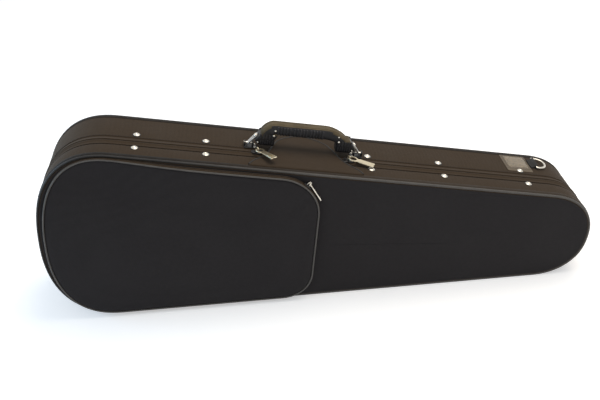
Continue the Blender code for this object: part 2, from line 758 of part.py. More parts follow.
def name_tag(looks):
    """A clear window in a bound frame, riveted to the base's top side."""
    middle_x = (TAG_FROM_X + TAG_TO_X) / 2
    length = (TAG_TO_X - TAG_FROM_X) / math.cos(TOP_SLOPE)
    depth = TAG_TO_DEPTH - TAG_FROM_DEPTH
    frame = on_top(middle_x, (TAG_FROM_DEPTH + TAG_TO_DEPTH) / 2)
    border = TAG_FRAME_WIDTH
    top = GAP + TAG_FRAME_THICKNESS
    ring = box("name_tag_frame", (-length / 2, -depth / 2, GAP), (length / 2, depth / 2, top),
               looks["binding"], frame)
    opening = (length / 2 - border, depth / 2 - border)
    cut(ring, box("name_tag_opening", (-opening[0], -opening[1], -OVERRUN),
                  (opening[0], opening[1], top + OVERRUN), looks["binding"], frame))
    inner = (opening[0] - GAP, opening[1] - GAP)
    box("name_tag_window", (-inner[0], -inner[1], GAP), (inner[0], inner[1], GAP + TAG_WINDOW_THICKNESS),
        looks["window"], frame)


def ring_frames():
    """Frames of the two strap rings: on the bar's axis, X outwards along the wall, Z off the wall."""
    seat = RING_TAB_PLATE + 2 * GAP + RING_WIRE_RADIUS
    upper = on_top(RING_BAR_X, RING_DEPTH) @ Matrix.Translation((0, 0, seat))
    path = outline()
    index = min(range(1, WIDE_END_STEPS), key=lambda place: abs(path[place].y - RING_LOW_HEIGHT))
    wall = path[index]
    way = path[index + 1] - path[index - 1]
    lean = math.atan2(-way.y, way.x)
    lower = Matrix.Translation((wall.x, FRONT_Y + RING_DEPTH, wall.y)) @ Matrix.Rotation(lean, 4, "Y")
    hanging = lower @ Matrix.Rotation(math.pi, 4, "Z") @ Matrix.Translation((0, 0, seat))
    return (("upper", upper), ("lower", hanging))


def strap_rings(looks):
    for side, frame in ring_frames():
        half = RING_BAR_LENGTH / 2
        bow = [(RING_REACH * math.cos(turn), half * math.sin(turn), 0)
               for turn in (math.pi * (step / RING_STEPS - 0.5) for step in range(1, RING_STEPS))]
        points = [(0, -half, 0)] + bow + [(0, half, 0)]
        tube(f"strap_ring_{side}", points, RING_WIRE_RADIUS, looks["nickel"], frame, closed=True)
        strap_tab(side, frame, looks["binding"])


def strap_tab(side, frame, look):
    """Webbing sewn to the wall and turned over the ring's bar, drawn as a block with a bore."""
    half = RING_TAB_WIDTH / 2
    outer = RING_WIRE_RADIUS + GAP + RING_TAB_PLATE
    name = f"strap_tab_{side}"
    under = -RING_WIRE_RADIUS - GAP - RING_TAB_PLATE
    tab = rod(name, outer, (0, -half, 0), (0, half, 0), look, frame)
    add(tab, box(name + "_tail", (-RING_TAB_LENGTH - outer, -half, under + GAP / 2),
                 (0, half, -RING_WIRE_RADIUS), look, frame))
    bore = RING_WIRE_RADIUS + GAP
    cut(tab, rod(name + "_bore", bore, (0, -half - OVERRUN, 0), (0, half + OVERRUN, 0), look, frame))
    return tab


def rounded_corner(corner, before, after, radius):
    """An arc that rounds a corner between two directions away from it, and the arc's centre."""
    middle = (before + after).normalized()
    half = before.angle(after) / 2
    centre = corner + middle * radius / math.sin(half)
    start = corner + before * radius / math.tan(half) - centre
    end = corner + after * radius / math.tan(half) - centre
    whole = start.angle(end)
    arc = []
    for step in range(POCKET_CORNER_STEPS + 1):
        turn = whole * step / POCKET_CORNER_STEPS
        arc.append(centre + (start * math.sin(whole - turn) + end * math.sin(turn)) / math.sin(whole))
    return arc, centre


def pocket_corners():
    """The arcs and centres of the pocket's two corners at its free edge, upper one first."""
    up = Vector((math.sin(POCKET_EDGE_TILT), math.cos(POCKET_EDGE_TILT)))
    along = Vector((math.cos(TOP_SLOPE), -math.sin(TOP_SLOPE)))
    middle = Vector((POCKET_EDGE_X, POCKET_EDGE_HEIGHT))
    low = middle - up * (middle.y - POCKET_INSET) / up.y
    drop = top_height(middle.x) - POCKET_INSET / math.cos(TOP_SLOPE) - middle.y
    top = middle + up * drop / (up.y + up.x * math.tan(TOP_SLOPE))
    upper = rounded_corner(top, -along, -up, POCKET_TOP_CORNER)
    lower = rounded_corner(low, up, Vector((-1, 0)), POCKET_LOW_CORNER)
    return upper, lower


def pocket_outline():
    """The pocket follows the case round the wide end, and bulges over the middle of the lid."""
    (upper, _), (lower, _) = pocket_corners()
    wide_end = grown(outline(), -POCKET_INSET)[:2 * WIDE_END_STEPS + 1]
    push = POCKET_END_INSET - POCKET_INSET
    top = wide_end[-1].y
    moved = [place + Vector((push, -push * math.tan(TOP_SLOPE) * place.y / top)) for place in wide_end]
    return moved + upper + lower


def pocket(looks):
    """A gusset on the lid, and a panel with piping that swings out from its lower edge."""
    path = pocket_outline()
    panel_y = FRONT_Y - POCKET_THICKNESS
    seat_y = panel_y + POCKET_PANEL_THICKNESS
    wall_strip("pocket_gusset", path, bool, -POCKET_GUSSET_THICKNESS, 0, FRONT_Y - GAP, seat_y + GAP,
               looks["nylon"], closed=True)
    welt = POCKET_PIPING_RADIUS
    slab("pocket_panel", grown(path, -2 * welt - 2 * GAP), panel_y, seat_y, looks["nylon"])
    tube("pocket_piping", [(place.x, panel_y + welt, place.y) for place in grown(path, -welt)],
         welt, looks["binding"], closed=True, sides_share=1)
    pocket_zip(looks["nickel"])


def pocket_zip(look):
    """The pocket's slider rides on the gusset round the upper corner, and its pull hangs from it."""
    (arc, centre), _ = pocket_corners()
    first = (arc[0] - centre).angle(Vector((0, 1)))
    last = (arc[-1] - centre).angle(Vector((0, 1)))
    turn = first + (last - first) * POCKET_SLIDER_PLACE_SHARE
    frame = (
        Matrix.Translation((centre.x, FRONT_Y - GAP * 2 - POCKET_SLIDER_WIDTH / 2, centre.y))
        @ Matrix.Rotation(turn, 4, "Y")
        @ Matrix.Translation((0, 0, POCKET_TOP_CORNER))
    )
    half = POCKET_SLIDER_LENGTH / 2
    side = POCKET_SLIDER_WIDTH / 2
    top = GAP + POCKET_SLIDER_BODY
    body = box("pocket_slider", (-half, -side, GAP), (half, side, top), look, frame)
    bar = pull_bar(body, POCKET_EAR_SPACING, frame, GAP, top, look)
    hang = Matrix.Translation(bar.translation) @ Matrix.Rotation(POCKET_PULL_TURN, 4, "Y")
    pull("pocket_pull", POCKET_PULL_LENGTH, POCKET_PULL_WIDTH, POCKET_EAR_SPACING, hang, look)


def axis_frame(station, across=0.0):
    """A frame inside the case: X along the case's own axis, Y through it."""
    place = at(station, across)
    return Matrix.Translation((place.x, 0, place.y)) @ Matrix.Rotation(TAPER, 4, "Y")


def station_of(x):
    return LENGTH / 2 + x / math.cos(TAPER)


def base_interior(looks):
    full = outline()
    lining_y = FLOOR_Y - GAP
    bed_y = lining_y - LINING_THICKNESS - GAP
    top_y = PARTING_Y + BED_TOP_SETBACK
    inner = grown(full, -BED_INSET)
    slab("base_lining", grown(full, -LINING_INSET), lining_y - LINING_THICKNESS, lining_y, looks["plush"])
    bed = slab("body_bed", between(inner, -LENGTH, PARTITION_X), top_y, bed_y, looks["plush"])
    half_well = [(WELL_START + u * WELL_LENGTH, v * WELL_HALF) for u, v in WELL_SHAPE_SHARES]
    well = [at(u, v) for u, v in half_well] + [at(u, -v) for u, v in half_well[-2:0:-1]]
    cut(bed, slab("body_well", well, top_y - OVERRUN, bed_y - WELL_FLOOR, looks["plush"]))
    side = NECK_WIDTH / 2
    start = WELL_START + WELL_LENGTH * NECK_START_SHARE
    end = station_of(PARTITION_X) + side * math.tan(TAPER) + OVERRUN
    channel = [at(start, -side), at(end, -side), at(end, side), at(start, side)]
    channel_y = bed_y - NECK_FLOOR
    cut(bed, slab("neck_channel", channel, top_y - OVERRUN, channel_y, looks["plush"]))
    wall_x = PARTITION_X + GAP
    slab("compartment_wall", between(inner, wall_x, wall_x + PARTITION_THICKNESS), top_y, bed_y,
         looks["plush"])
    neck_rest(top_y, channel_y, looks)
    compartment_lid(full, wall_x + PARTITION_THICKNESS + GAP, looks)


def neck_rest(top_y, channel_y, looks):
    """The cradle on the channel's floor, and the strap that lies over the neck."""
    floor_y = channel_y - GAP
    crest_y = floor_y - CRADLE_HEIGHT
    half = CRADLE_LENGTH / 2
    side = NECK_WIDTH / 2 - GAP
    frame = axis_frame(station_of(CRADLE_X))
    cradle = box("neck_cradle", (-half, crest_y, -side), (half, floor_y, side), looks["plush"], frame)
    reach = half + OVERRUN
    cut(cradle, rod("neck_notch", CRADLE_NOTCH_RADIUS, (-reach, crest_y, 0), (reach, crest_y, 0),
                    looks["plush"], frame))
    span = NECK_WIDTH / 2 + STRAP_SEAT
    seat_y = top_y - GAP
    strap_frame = axis_frame(station_of(STRAP_X), -span) @ Matrix.Translation((0, seat_y - STRAP_THICKNESS, 0))
    box("neck_strap", (-STRAP_WIDTH / 2, 0, 0), (STRAP_WIDTH / 2, STRAP_THICKNESS, 2 * span),
        looks["binding"], strap_frame)


def compartment_lid(full, hinge_x, looks):
    """The lid of the accessory compartment, and the ribbon that lifts it."""
    top_y = PARTING_Y + HATCH_SETBACK
    shape = between(grown(full, -HATCH_INSET), hinge_x, LENGTH)
    frame = Matrix.Translation((hinge_x, top_y, 0))
    local = [place - Vector((hinge_x, 0)) for place in shape]
    lid = slab("compartment_lid", local, 0, HATCH_THICKNESS, looks["plush"], frame)
    end = LENGTH - HATCH_INSET - HATCH_TAB_WIDTH / 2
    tab = axis_frame(end - HATCH_TAB_LENGTH) @ Matrix.Translation((0, top_y - HATCH_TAB_THICKNESS, 0))
    add(lid, box("compartment_tab", (0, 0, -HATCH_TAB_WIDTH / 2),
                 (HATCH_TAB_LENGTH, HATCH_TAB_THICKNESS + HATCH_THICKNESS / 2, HATCH_TAB_WIDTH / 2),
                 looks["binding"], tab))


def lid_interior(looks):
    """The lid's lining, and the clips and loops that hold two bows."""
    low_y = CEILING_Y + GAP
    seat_y = low_y + LINING_THICKNESS + GAP
    slab("lid_lining", grown(outline(), -LINING_INSET), low_y, low_y + LINING_THICKNESS, looks["plush"])
    for side, sign in (("upper", 1), ("lower", -1)):
        bow_clip(side, axis_frame(BOW_CLIP_STATION, sign * BOW_CLIP_SPACING / 2), seat_y, looks)
        bow_loop(side, axis_frame(BOW_LOOP_STATION_SHARE * LENGTH, sign * BOW_LOOP_SPACING / 2), seat_y, looks)


def bow_clip(side, frame, seat_y, looks):
    """A moulded base with a bore, and an arm that turns in it to hold the bow."""
    half = BOW_CLIP_BASE_LENGTH / 2
    top_y = seat_y + BOW_CLIP_BASE_HEIGHT
    base = box(f"bow_clip_base_{side}", (-half, seat_y, -BOW_CLIP_BASE_WIDTH / 2),
               (half, top_y, BOW_CLIP_BASE_WIDTH / 2), looks["moulding"], frame)
    post_y = seat_y + 2 * GAP + BOW_CLIP_BASE_HEIGHT * POST_FLOOR_SHARE
    cut(base, rod(f"bow_bore_{side}", BOW_CLIP_POST_RADIUS + GAP, (0, post_y - GAP, 0),
                  (0, top_y + OVERRUN, 0), looks["moulding"], frame))
    arm_y = top_y + GAP
    arm_half = BOW_CLIP_ARM_LENGTH / 2
    arm = box(f"bow_clip_{side}", (-arm_half, arm_y, -BOW_CLIP_ARM_WIDTH / 2),
              (arm_half, arm_y + BOW_CLIP_ARM_THICKNESS, BOW_CLIP_ARM_WIDTH / 2), looks["moulding"], frame)
    add(arm, rod(f"bow_post_{side}", BOW_CLIP_POST_RADIUS, (0, post_y, 0),
                 (0, arm_y + BOW_CLIP_ARM_THICKNESS / 2, 0), looks["moulding"], frame))


def bow_loop(side, frame, seat_y, looks):
    """An elastic loop for the bow's tip."""
    radius = BOW_LOOP_RADIUS
    points = [(0, seat_y, radius)]
    for step in range(LOOP_STEPS + 1):
        turn = math.pi * step / LOOP_STEPS
        points.append((0, seat_y + BOW_LOOP_WIRE_RADIUS + radius * math.sin(turn), radius * math.cos(turn)))
    points.append((0, seat_y, -radius))
    tube(f"bow_loop_{side}", points, BOW_LOOP_WIRE_RADIUS, looks["binding"], frame, sides_share=1)


def finishes():
    return {
        "nylon": material("black_nylon", (0.022, 0.021, 0.02), 0.82),
        "binding": material("black_binding", (0.014, 0.014, 0.014), 0.6),
        "tape": material("zip_tape", (0.03, 0.028, 0.026), 0.85),
        "coil": material("zip_coil", (0.012, 0.012, 0.012), 0.45),
        "moulding": material("moulded_plastic", (0.018, 0.017, 0.015), 0.42),
        "steel": material("bright_steel", (0.56, 0.56, 0.55), 0.25, 1.0),
        "nickel": material("nickel", (0.66, 0.62, 0.54), 0.22, 1.0),
        "window": material("clear_vinyl", (0.3, 0.29, 0.22), 0.12),
        "plush": material("plush_lining", (0.05, 0.055, 0.075), 0.95),
    }


def main():
    looks = finishes()
    shell("base_shell", BACK_Y, BACK_ROUND, 1, looks["nylon"])
    shell("lid_shell", FRONT_Y, FRONT_ROUND, -1, looks["nylon"])
    edge_piping("base_piping", BACK_Y, BACK_ROUND, -1, looks["binding"])
    edge_piping("lid_piping", FRONT_Y, FRONT_ROUND, 1, looks["binding"])
    zip_half("base", 1, looks)
    zip_half("lid", -1, looks)
    hinge_cloth("base_hinge_cloth", 1, looks["tape"])
    hinge_cloth("lid_hinge_cloth", -1, looks["tape"])
    rivets("base", RIVET_BASE_DEPTH, looks["nickel"])
    rivets("lid", RIVET_LID_DEPTH, looks["nickel"])
    case_sliders(looks["nickel"])
    flap(looks["nylon"])
    handle(looks)
    name_tag(looks)
    strap_rings(looks)
    pocket(looks)
    base_interior(looks)
    lid_interior(looks)


clear_scene()
PARTS = collection("violin_case")
CUTTERS = collection("cutters")
main()
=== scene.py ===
"""Dresses the shaped violin case: covers, zips, handle, pocket, hardware and plush interior.

X runs along the case from the wide end to the narrow end, -Y is the lid side and +Z is up, in metres.
"""

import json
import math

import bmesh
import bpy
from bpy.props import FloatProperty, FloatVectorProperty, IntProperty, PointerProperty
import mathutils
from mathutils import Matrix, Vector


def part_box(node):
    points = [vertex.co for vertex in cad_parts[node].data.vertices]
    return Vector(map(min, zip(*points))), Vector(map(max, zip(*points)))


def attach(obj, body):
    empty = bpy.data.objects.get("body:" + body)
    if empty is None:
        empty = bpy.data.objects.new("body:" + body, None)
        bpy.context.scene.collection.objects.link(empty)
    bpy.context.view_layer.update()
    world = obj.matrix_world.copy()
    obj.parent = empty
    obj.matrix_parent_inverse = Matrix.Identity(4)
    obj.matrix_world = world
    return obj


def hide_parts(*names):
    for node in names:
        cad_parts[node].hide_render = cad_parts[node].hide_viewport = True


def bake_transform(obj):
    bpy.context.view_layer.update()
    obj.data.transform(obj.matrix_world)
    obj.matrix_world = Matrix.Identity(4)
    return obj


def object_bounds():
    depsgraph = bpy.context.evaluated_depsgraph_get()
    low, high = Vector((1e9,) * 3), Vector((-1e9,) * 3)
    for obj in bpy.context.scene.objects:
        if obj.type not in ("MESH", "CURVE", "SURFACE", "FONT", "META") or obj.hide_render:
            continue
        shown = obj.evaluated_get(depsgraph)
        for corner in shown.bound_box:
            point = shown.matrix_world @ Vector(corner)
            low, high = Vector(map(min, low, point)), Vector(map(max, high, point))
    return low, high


bl_info = {
    "name": "Violin Case Looks",
    "version": (1, 0, 0),
    "blender": (4, 5, 0),
    "location": "3D View > Sidebar > Violin Case",
    "description": "Builds the covers, trim, hardware and interior of a shaped violin case",
    "category": "Object",
}

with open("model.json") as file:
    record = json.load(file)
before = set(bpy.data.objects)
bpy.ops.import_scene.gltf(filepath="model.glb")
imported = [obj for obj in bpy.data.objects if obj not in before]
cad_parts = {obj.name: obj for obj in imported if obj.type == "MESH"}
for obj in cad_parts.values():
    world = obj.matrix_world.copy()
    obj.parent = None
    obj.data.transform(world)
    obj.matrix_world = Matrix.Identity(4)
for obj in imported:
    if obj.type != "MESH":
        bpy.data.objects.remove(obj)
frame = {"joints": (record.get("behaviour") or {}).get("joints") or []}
CAD_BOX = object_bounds()
JOINTS = {joint["name"]: joint for joint in frame["joints"]}
# Shares of the case's length at which its two half widths are measured
WIDE_STATION_SHARE = 0.15
NARROW_STATION_SHARE = 0.85
# Rivets on each half of the case
RIVETS = 5
# Clearance between pieces that move past each other or lie together
GAP = 0.0003
# From the edge of the zip's band in to its tape, and out to its stitches
TAPE_EDGE = 0.0016
# Half the width of the handle's end blocks
BLOCK_HALF = 0.0084


def case():
    return bpy.context.scene.violin_case


def hues():
    return bpy.context.scene.violin_case_colours


def fine(most):
    return most


# Outline of the case

def rise():
    """How fast half of the case's width grows along its axis."""
    c = case()
    return (c.narrow_half - c.wide_half) / ((NARROW_STATION_SHARE - WIDE_STATION_SHARE) * c.length)


def half_width(station):
    return case().wide_half + rise() * (station - WIDE_STATION_SHARE * case().length)


def taper():
    return math.atan(-rise())


def at(station, across):
    """Turns a place along and across the case's axis into x and z."""
    c = case()
    lean = taper()
    lift = math.sin(lean) * WIDE_STATION_SHARE * c.length + math.cos(lean) * c.wide_half
    x = (station - c.length / 2) * math.cos(lean) + across * math.sin(lean)
    z = lift - station * math.sin(lean) + across * math.cos(lean)
    return Vector((x, z))


def end_curve(reach, power, steps):
    for step in range(steps + 1):
        turn = math.pi / 2 * step / steps
        yield reach * (1 - math.cos(turn) ** (2 / power)), math.sin(turn) ** (2 / power)


def outline():
    """The closed outline, its straight sides cut finely enough for a seam or a bulge."""
    c = case()
    steps = fine(22)
    sides = fine(26)
    wide = [(u, half_width(u) * share) for u, share in end_curve(c.wide_reach, c.wide_power, steps)]
    narrow = [(c.length - u, half_width(c.length - u) * share)
              for u, share in end_curve(c.narrow_reach, c.narrow_power, steps)]
    run = c.length - c.narrow_reach - c.wide_reach
    middle = [c.wide_reach + run * step / sides for step in range(1, sides)]
    places = [(u, -v) for u, v in reversed(wide[1:])] + wide + [(u, half_width(u)) for u in middle]
    places += narrow[::-1] + [(u, -v) for u, v in narrow[1:]] + [(u, -half_width(u)) for u in reversed(middle)]
    return [at(u, v) for u, v in places]


def grown(points, distance):
    """A closed outline moved outward by a distance, or inward by a negative one."""
    turn = sum(a.cross(b) for a, b in zip(points, points[1:] + points[:1]))
    sign = 1 if turn > 0 else -1
    moved = []
    for index, point in enumerate(points):
        before = (point - points[index - 1]).normalized()
        after = (points[(index + 1) % len(points)] - point).normalized()
        sides = [Vector((way.y, -way.x)) * sign for way in (before, after)]
        moved.append(point + (sides[0] + sides[1]) * distance / max(0.5, 1 + sides[0].dot(sides[1])))
    return moved


def shrunk(points, distance):
    """A flat outline drawn in a little."""
    return grown([Vector(p) for p in points], -distance)


def outward(path):
    """A closed path's points, each with its outward direction."""
    return [(a, (b - a) / 0.001) for a, b in zip(path, grown(path, 0.001))]


def toward_spine(points, share):
    """The outline drawn in towards the case's axis, to a share of its distance from it."""
    c = case()
    way = Vector((math.cos(taper()), -math.sin(taper())))
    start = at(c.wide_half, 0)
    reach = c.length - c.wide_half - c.narrow_half
    feet = [start + way * min(max((point - start).dot(way), 0), reach) for point in points]
    return [foot + (point - foot) * share for foot, point in zip(feet, points)]


def between(points, low_x, high_x):
    """The part of a closed outline that lies between two places along X."""
    for limit, sign in ((low_x, 1), (high_x, -1)):
        kept = []
        for index, point in enumerate(points):
            last = points[index - 1]
            if (last.x - limit) * (point.x - limit) < 0:
                kept.append(last.lerp(point, (limit - last.x) / (point.x - last.x)))
            if (point.x - limit) * sign >= 0:
                kept.append(point)
        points = kept
    return points


def split_run(run, height):
    """A closed run's stretch above a height and its stretch below, both in order."""
    start = next(i for i in range(len(run)) if run[i - 1][0].y <= height < run[i][0].y)
    ordered = run[start:] + run[:start]
    end = next(i for i, place in enumerate(ordered) if place[0].y <= height)
    return ordered[:end], ordered[end:]


def zip_run(height):
    """The outline from one zip end over the top to the other, with its outward directions."""
    above, below = split_run(outward(outline()), height)
    ends = [(far[0].lerp(near, (height - far[0].y) / (near.y - far[0].y)), out)
            for far, (near, out) in ((below[-1], above[0]), (below[0], above[-1]))]
    return ends[:1] + above + ends[1:]


def along(places, pitch, offset=0.0):
    """Even steps along a run: each with its place, direction and outward direction."""
    made = []
    walked = -offset
    for (a, out_a), (b, out_b) in zip(places, places[1:]):
        length = (b - a).length
        while walked <= length:
            if walked >= 0:
                part = walked / length
                made.append((a.lerp(b, part), (b - a).normalized(), out_a.lerp(out_b, part)))
            walked += pitch
        walked -= length
    return made


def front_y():
    return -case().depth / 2


def back_y():
    return case().depth / 2


def parting_y():
    return front_y() + case().lid_depth


def top_height(x):
    start = at(0, half_width(0))
    return start.y - (x - start.x) * math.tan(2 * taper())


def on_top(x, y):
    """A frame on the top side: X along its slope, Y through the case, Z square to it."""
    return Matrix.Translation((x, y, top_height(x))) @ Matrix.Rotation(2 * taper(), 4, "Y")


def station_of(x):
    return case().length / 2 + x / math.cos(taper())


def axis_frame(station, across=0.0):
    """A frame inside the case: X along the case's own axis, Y through it."""
    place = at(station, across)
    return Matrix.Translation((place.x, 0, place.y)) @ Matrix.Rotation(taper(), 4, "Y")


def framed(x, y, z, place):
    return Matrix.Translation(place) @ Matrix((x, y, z)).transposed().to_4x4()


def middle_of(name):
    low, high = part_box(name)
    return (Vector(low) + Vector(high)) / 2


def joint_place(name):
    return Vector(JOINTS[name]["pos_m"])


def joint_axis(name):
    return Vector(JOINTS[name]["axis"]).normalized()


# Meshes

def finish(name, shape, looks, place=None, smooth=40, body=None, replaced=(), slot=None):
    """Makes a piece of a bmesh, with its faces turned out, on the body that it rides on."""
    bmesh.ops.remove_doubles(shape, verts=shape.verts, dist=1e-6)
    bmesh.ops.recalc_face_normals(shape, faces=shape.faces)
    data = bpy.data.meshes.new(name)
    shape.to_mesh(data)
    shape.free()
    made = bpy.data.objects.new(name, data)
    made.matrix_world = place or Matrix.Identity(4)
    bpy.context.scene.collection.objects.link(made)
    for look in (looks,) if isinstance(looks, str) else looks:
        data.materials.append(LOOKS[look])
    if smooth:
        data.shade_smooth()
        data.set_sharp_from_angle(angle=math.radians(smooth))
    return kept(made, body, replaced, slot)


def kept(made, body, replaced, slot):
    """Puts a piece on the body that it rides on and hides the parts that it stands for; the slot is not used."""
    if body:
        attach(made, body)
    if replaced:
        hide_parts(*replaced)
    return made


def bridged(rings, shape=None, loop=False, look_of=None):
    """Bridges rings of points and closes the ends, or joins the last ring to the first in a loop."""
    if shape is None:
        shape = bmesh.new()
    rows = [[shape.verts.new(point) for point in ring] for ring in rings]
    count = len(rows[0])
    for index in range(len(rows) if loop else len(rows) - 1):
        row = rows[index]
        following = rows[(index + 1) % len(rows)]
        for side in range(count):
            after = (side + 1) % count
            face = shape.faces.new((row[side], row[after], following[after], following[side]))
            face.material_index = look_of(index) if look_of else 0
    for index in () if loop else (0, len(rows) - 1):
        face = shape.faces.new(rows[index])
        face.material_index = look_of(index) if look_of else 0
    return shape


def flat(points, z):
    """A ring that lies at a height, from x and y."""
    return [Vector((a, b, z)) for a, b in points]


def upright(points, y):
    """A ring that stands at a depth, from x and z."""
    return [Vector((a, y, b)) for a, b in points]


def walled(points, near, far, shape=None):
    """An outline of the case, carried through it between two depths."""
    return bridged([upright(points, near), upright(points, far)], shape)


def block(low, high, shape=None):
    corners = ((low[0], low[1]), (high[0], low[1]), (high[0], high[1]), (low[0], high[1]))
    return bridged([flat(corners, low[2]), flat(corners, high[2])], shape)


def rounded(points, radius, steps=4):
    """The corners of a flat outline rounded with arcs."""
    made = []
    for index, point in enumerate(points):
        corner = Vector(point)
        before = Vector(points[index - 1]) - corner
        after = Vector(points[(index + 1) % len(points)]) - corner
        reach = min(radius, before.length / 2.05, after.length / 2.05)
        start = corner + before.normalized() * reach
        end = corner + after.normalized() * reach
        for step in range(steps + 1):
            share = step / steps
            made.append(start.lerp(corner, share).lerp(corner.lerp(end, share), share))
    return made


def mirrored(half):
    """A half outline joined to its mirror image across X."""
    return half + [(a, -b) for a, b in reversed(half)]


def circle(radius, sides, start=0.0, turn=2 * math.pi, spare=0):
    """Points of a circle, or of an arc with a spare point at its end."""
    return [(radius * math.cos(start + turn * step / sides), radius * math.sin(start + turn * step / sides))
            for step in range(sides + spare)]


def signed_power(value, power):
    return math.copysign(abs(value) ** power, value)


def turned(profile, steps, place=None, shape=None):
    """A turned shape about Z from radius and height pairs, its ends closed on the axis."""
    place = place or Matrix.Identity(4)
    return bridged([[place @ p for p in flat(circle(r, steps), height)] for r, height in profile], shape)


def sweep(points, section, closed=False, up=Vector((0, 1, 0)), shape=None):
    """Carries a flat section along points. The section's x lies along up and its y square to it."""
    rings = []
    count = len(points)
    for index, point in enumerate(points):
        before = points[index - 1] if closed or index else point
        after = points[(index + 1) % count] if closed or index < count - 1 else point
        way = (after - before).normalized()
        side = (up - way * up.dot(way)).normalized()
        out = way.cross(side)
        rings.append([point + side * a + out * b for a, b in section])
    return bridged(rings, shape, loop=closed)


def stitch(shape, middle, way, side, up, stations):
    """One stitch, from stations of place along it, height, half its width and half its thickness."""
    rings = []
    for s, height, wide, thick in stations:
        c = middle + way * s + up * height
        rings.append([c + side * wide, c + up * thick, c - side * wide, c - up * thick])
    bridged(rings, shape)


def softened(piece, width, segments=2, angle=50):
    """Rounds the edges of a moulded or cut piece."""
    edge = piece.modifiers.new("edge", "BEVEL")
    edge.width = width
    edge.segments = segments
    edge.limit_method = "ANGLE"
    edge.angle_limit = math.radians(angle)
    edge.harden_normals = False
    return piece


def carved(name, solid, hollows, look, width, place=None, body=None, replaced=(), segments=3, slot="plush"):
    """A solid with hollows cut into it, and then its edges rounded."""
    made = finish(name, solid, look, place, smooth=45)
    tools = []
    for index, hollow in enumerate(hollows):
        tool = finish(f"{name}_hollow_{index}", hollow, look, place, smooth=0)
        cut = made.modifiers.new("hollow", "BOOLEAN")
        cut.object = tool
        cut.operation = "DIFFERENCE"
        cut.solver = "EXACT"
        tools.append(tool)
    softened(made, width, segments, 35)
    bpy.context.view_layer.update()
    data = bpy.data.meshes.new_from_object(made.evaluated_get(bpy.context.evaluated_depsgraph_get()))
    made.modifiers.clear()
    made.data = data
    data.shade_smooth()
    for tool in tools:
        bpy.data.objects.remove(tool)
    data.set_sharp_from_angle(angle=math.radians(55))
    return kept(made, body, replaced, slot)


# Finishes

LOOKS = {}


def plain(name, roughness, metallic=0.0, **inputs):
    """A new material, its shader with the values that are the same all over."""
    made = bpy.data.materials.new(name)
    made.use_nodes = True
    shader = made.node_tree.nodes["Principled BSDF"]
    shader.inputs["Roughness"].default_value = roughness
    shader.inputs["Metallic"].default_value = metallic
    for key, value in inputs.items():
        shader.inputs[key.replace("_", " ").title().replace("Ior", "IOR")].default_value = value
    return made, shader


def node(made, kind, links=(), **values):
    """Adds a node, sets its values and links its inputs from (input, output socket) pairs."""
    added = made.node_tree.nodes.new(kind)
    for key, value in values.items():
        if hasattr(added, key):
            setattr(added, key, value)
        else:
            added.inputs[key.replace("_", " ").title()].default_value = value
    for key, socket in links:
        made.node_tree.links.new(added.inputs[key], socket)
    return added


def worked(made, operation, first, second, clamp=False):
    added = node(made, "ShaderNodeMath", operation=operation, use_clamp=clamp)
    for index, value in enumerate((first, second)):
        if isinstance(value, (int, float)):
            added.inputs[index].default_value = value
        else:
            made.node_tree.links.new(added.inputs[index], value)
    return added.outputs[0]


def total(made, *parts, clamp=False):
    """The sum of values, each given alone or with its weight."""
    values = [worked(made, "MULTIPLY", *part) if isinstance(part, tuple) else part for part in parts]
    result = values[0]
    for value in values[1:-1]:
        result = worked(made, "ADD", result, value)
    return worked(made, "ADD", result, values[-1], clamp)


def places(made):
    return node(made, "ShaderNodeTexCoord").outputs["Object"]


def bands(made, where, direction, period, wobble=0.0):
    """Even ribs along an axis, a period in metres apart, from 0 to 1."""
    return node(made, "ShaderNodeTexWave", [("Vector", where)], wave_type="BANDS", bands_direction=direction,
                scale=math.pi / (10 * period), distortion=wobble).outputs["Fac"]


def noise(made, where, size, detail=3.0, roughness=0.55):
    """Cloudy change over a size in metres, from 0 to 1."""
    return node(made, "ShaderNodeTexNoise", [("Vector", where)], scale=1 / size, detail=detail,
                roughness=roughness).outputs["Fac"]


def spread(made, value, low, high, out_low=0.0, out_high=1.0):
    return node(made, "ShaderNodeMapRange", [("Value", value)], clamp=True, from_min=low, from_max=high,
                to_min=out_low, to_max=out_high).outputs["Result"]


def shaded(colour, share):
    return tuple(part * share for part in colour)


def tinted(made, factor, dark, light):
    """A colour between two, by a factor."""
    added = node(made, "ShaderNodeMix", [(0, factor)], data_type="RGBA")
    added.inputs[6].default_value = (*dark, 1.0)
    added.inputs[7].default_value = (*light, 1.0)
    return added.outputs[2]


def dress(made, shader, colour, roughness, height, strength, depth):
    links = made.node_tree.links
    links.new(shader.inputs["Base Color"], colour)
    if roughness is not None:
        links.new(shader.inputs["Roughness"], roughness)
    bump = node(made, "ShaderNodeBump", [("Height", height)], strength=strength, distance=depth)
    links.new(shader.inputs["Normal"], bump.outputs["Normal"])
    return made


def cloth(name, colour, thread, contrast=0.25, strength=0.5, roughness=0.8, mottle=0.3):
    """Woven fabric: threads along X, Y and Z cross, so that any face shows two of them."""
    made, shader = plain(name, roughness, sheen_weight=0.04, sheen_roughness=0.45, specular_ior_level=0.14)
    where = places(made)
    threads = [bands(made, where, axis, thread, 0.15) for axis in "XZY"]
    weave = worked(made, "MULTIPLY", total(made, *threads), 1 / 3)
    slub = noise(made, where, thread * 5, 2.0)
    cloud = noise(made, where, 0.06, 4.0)
    mix = total(made, (weave, contrast), (slub, mottle), (cloud, mottle), clamp=True)
    tint = tinted(made, mix, shaded(colour, 0.62), shaded(colour, 1.35))
    return dress(made, shader, tint, spread(made, cloud, 0.3, 0.7, roughness - 0.07, roughness + 0.06),
                 total(made, weave, (slub, 0.6)), strength, thread * 0.3)


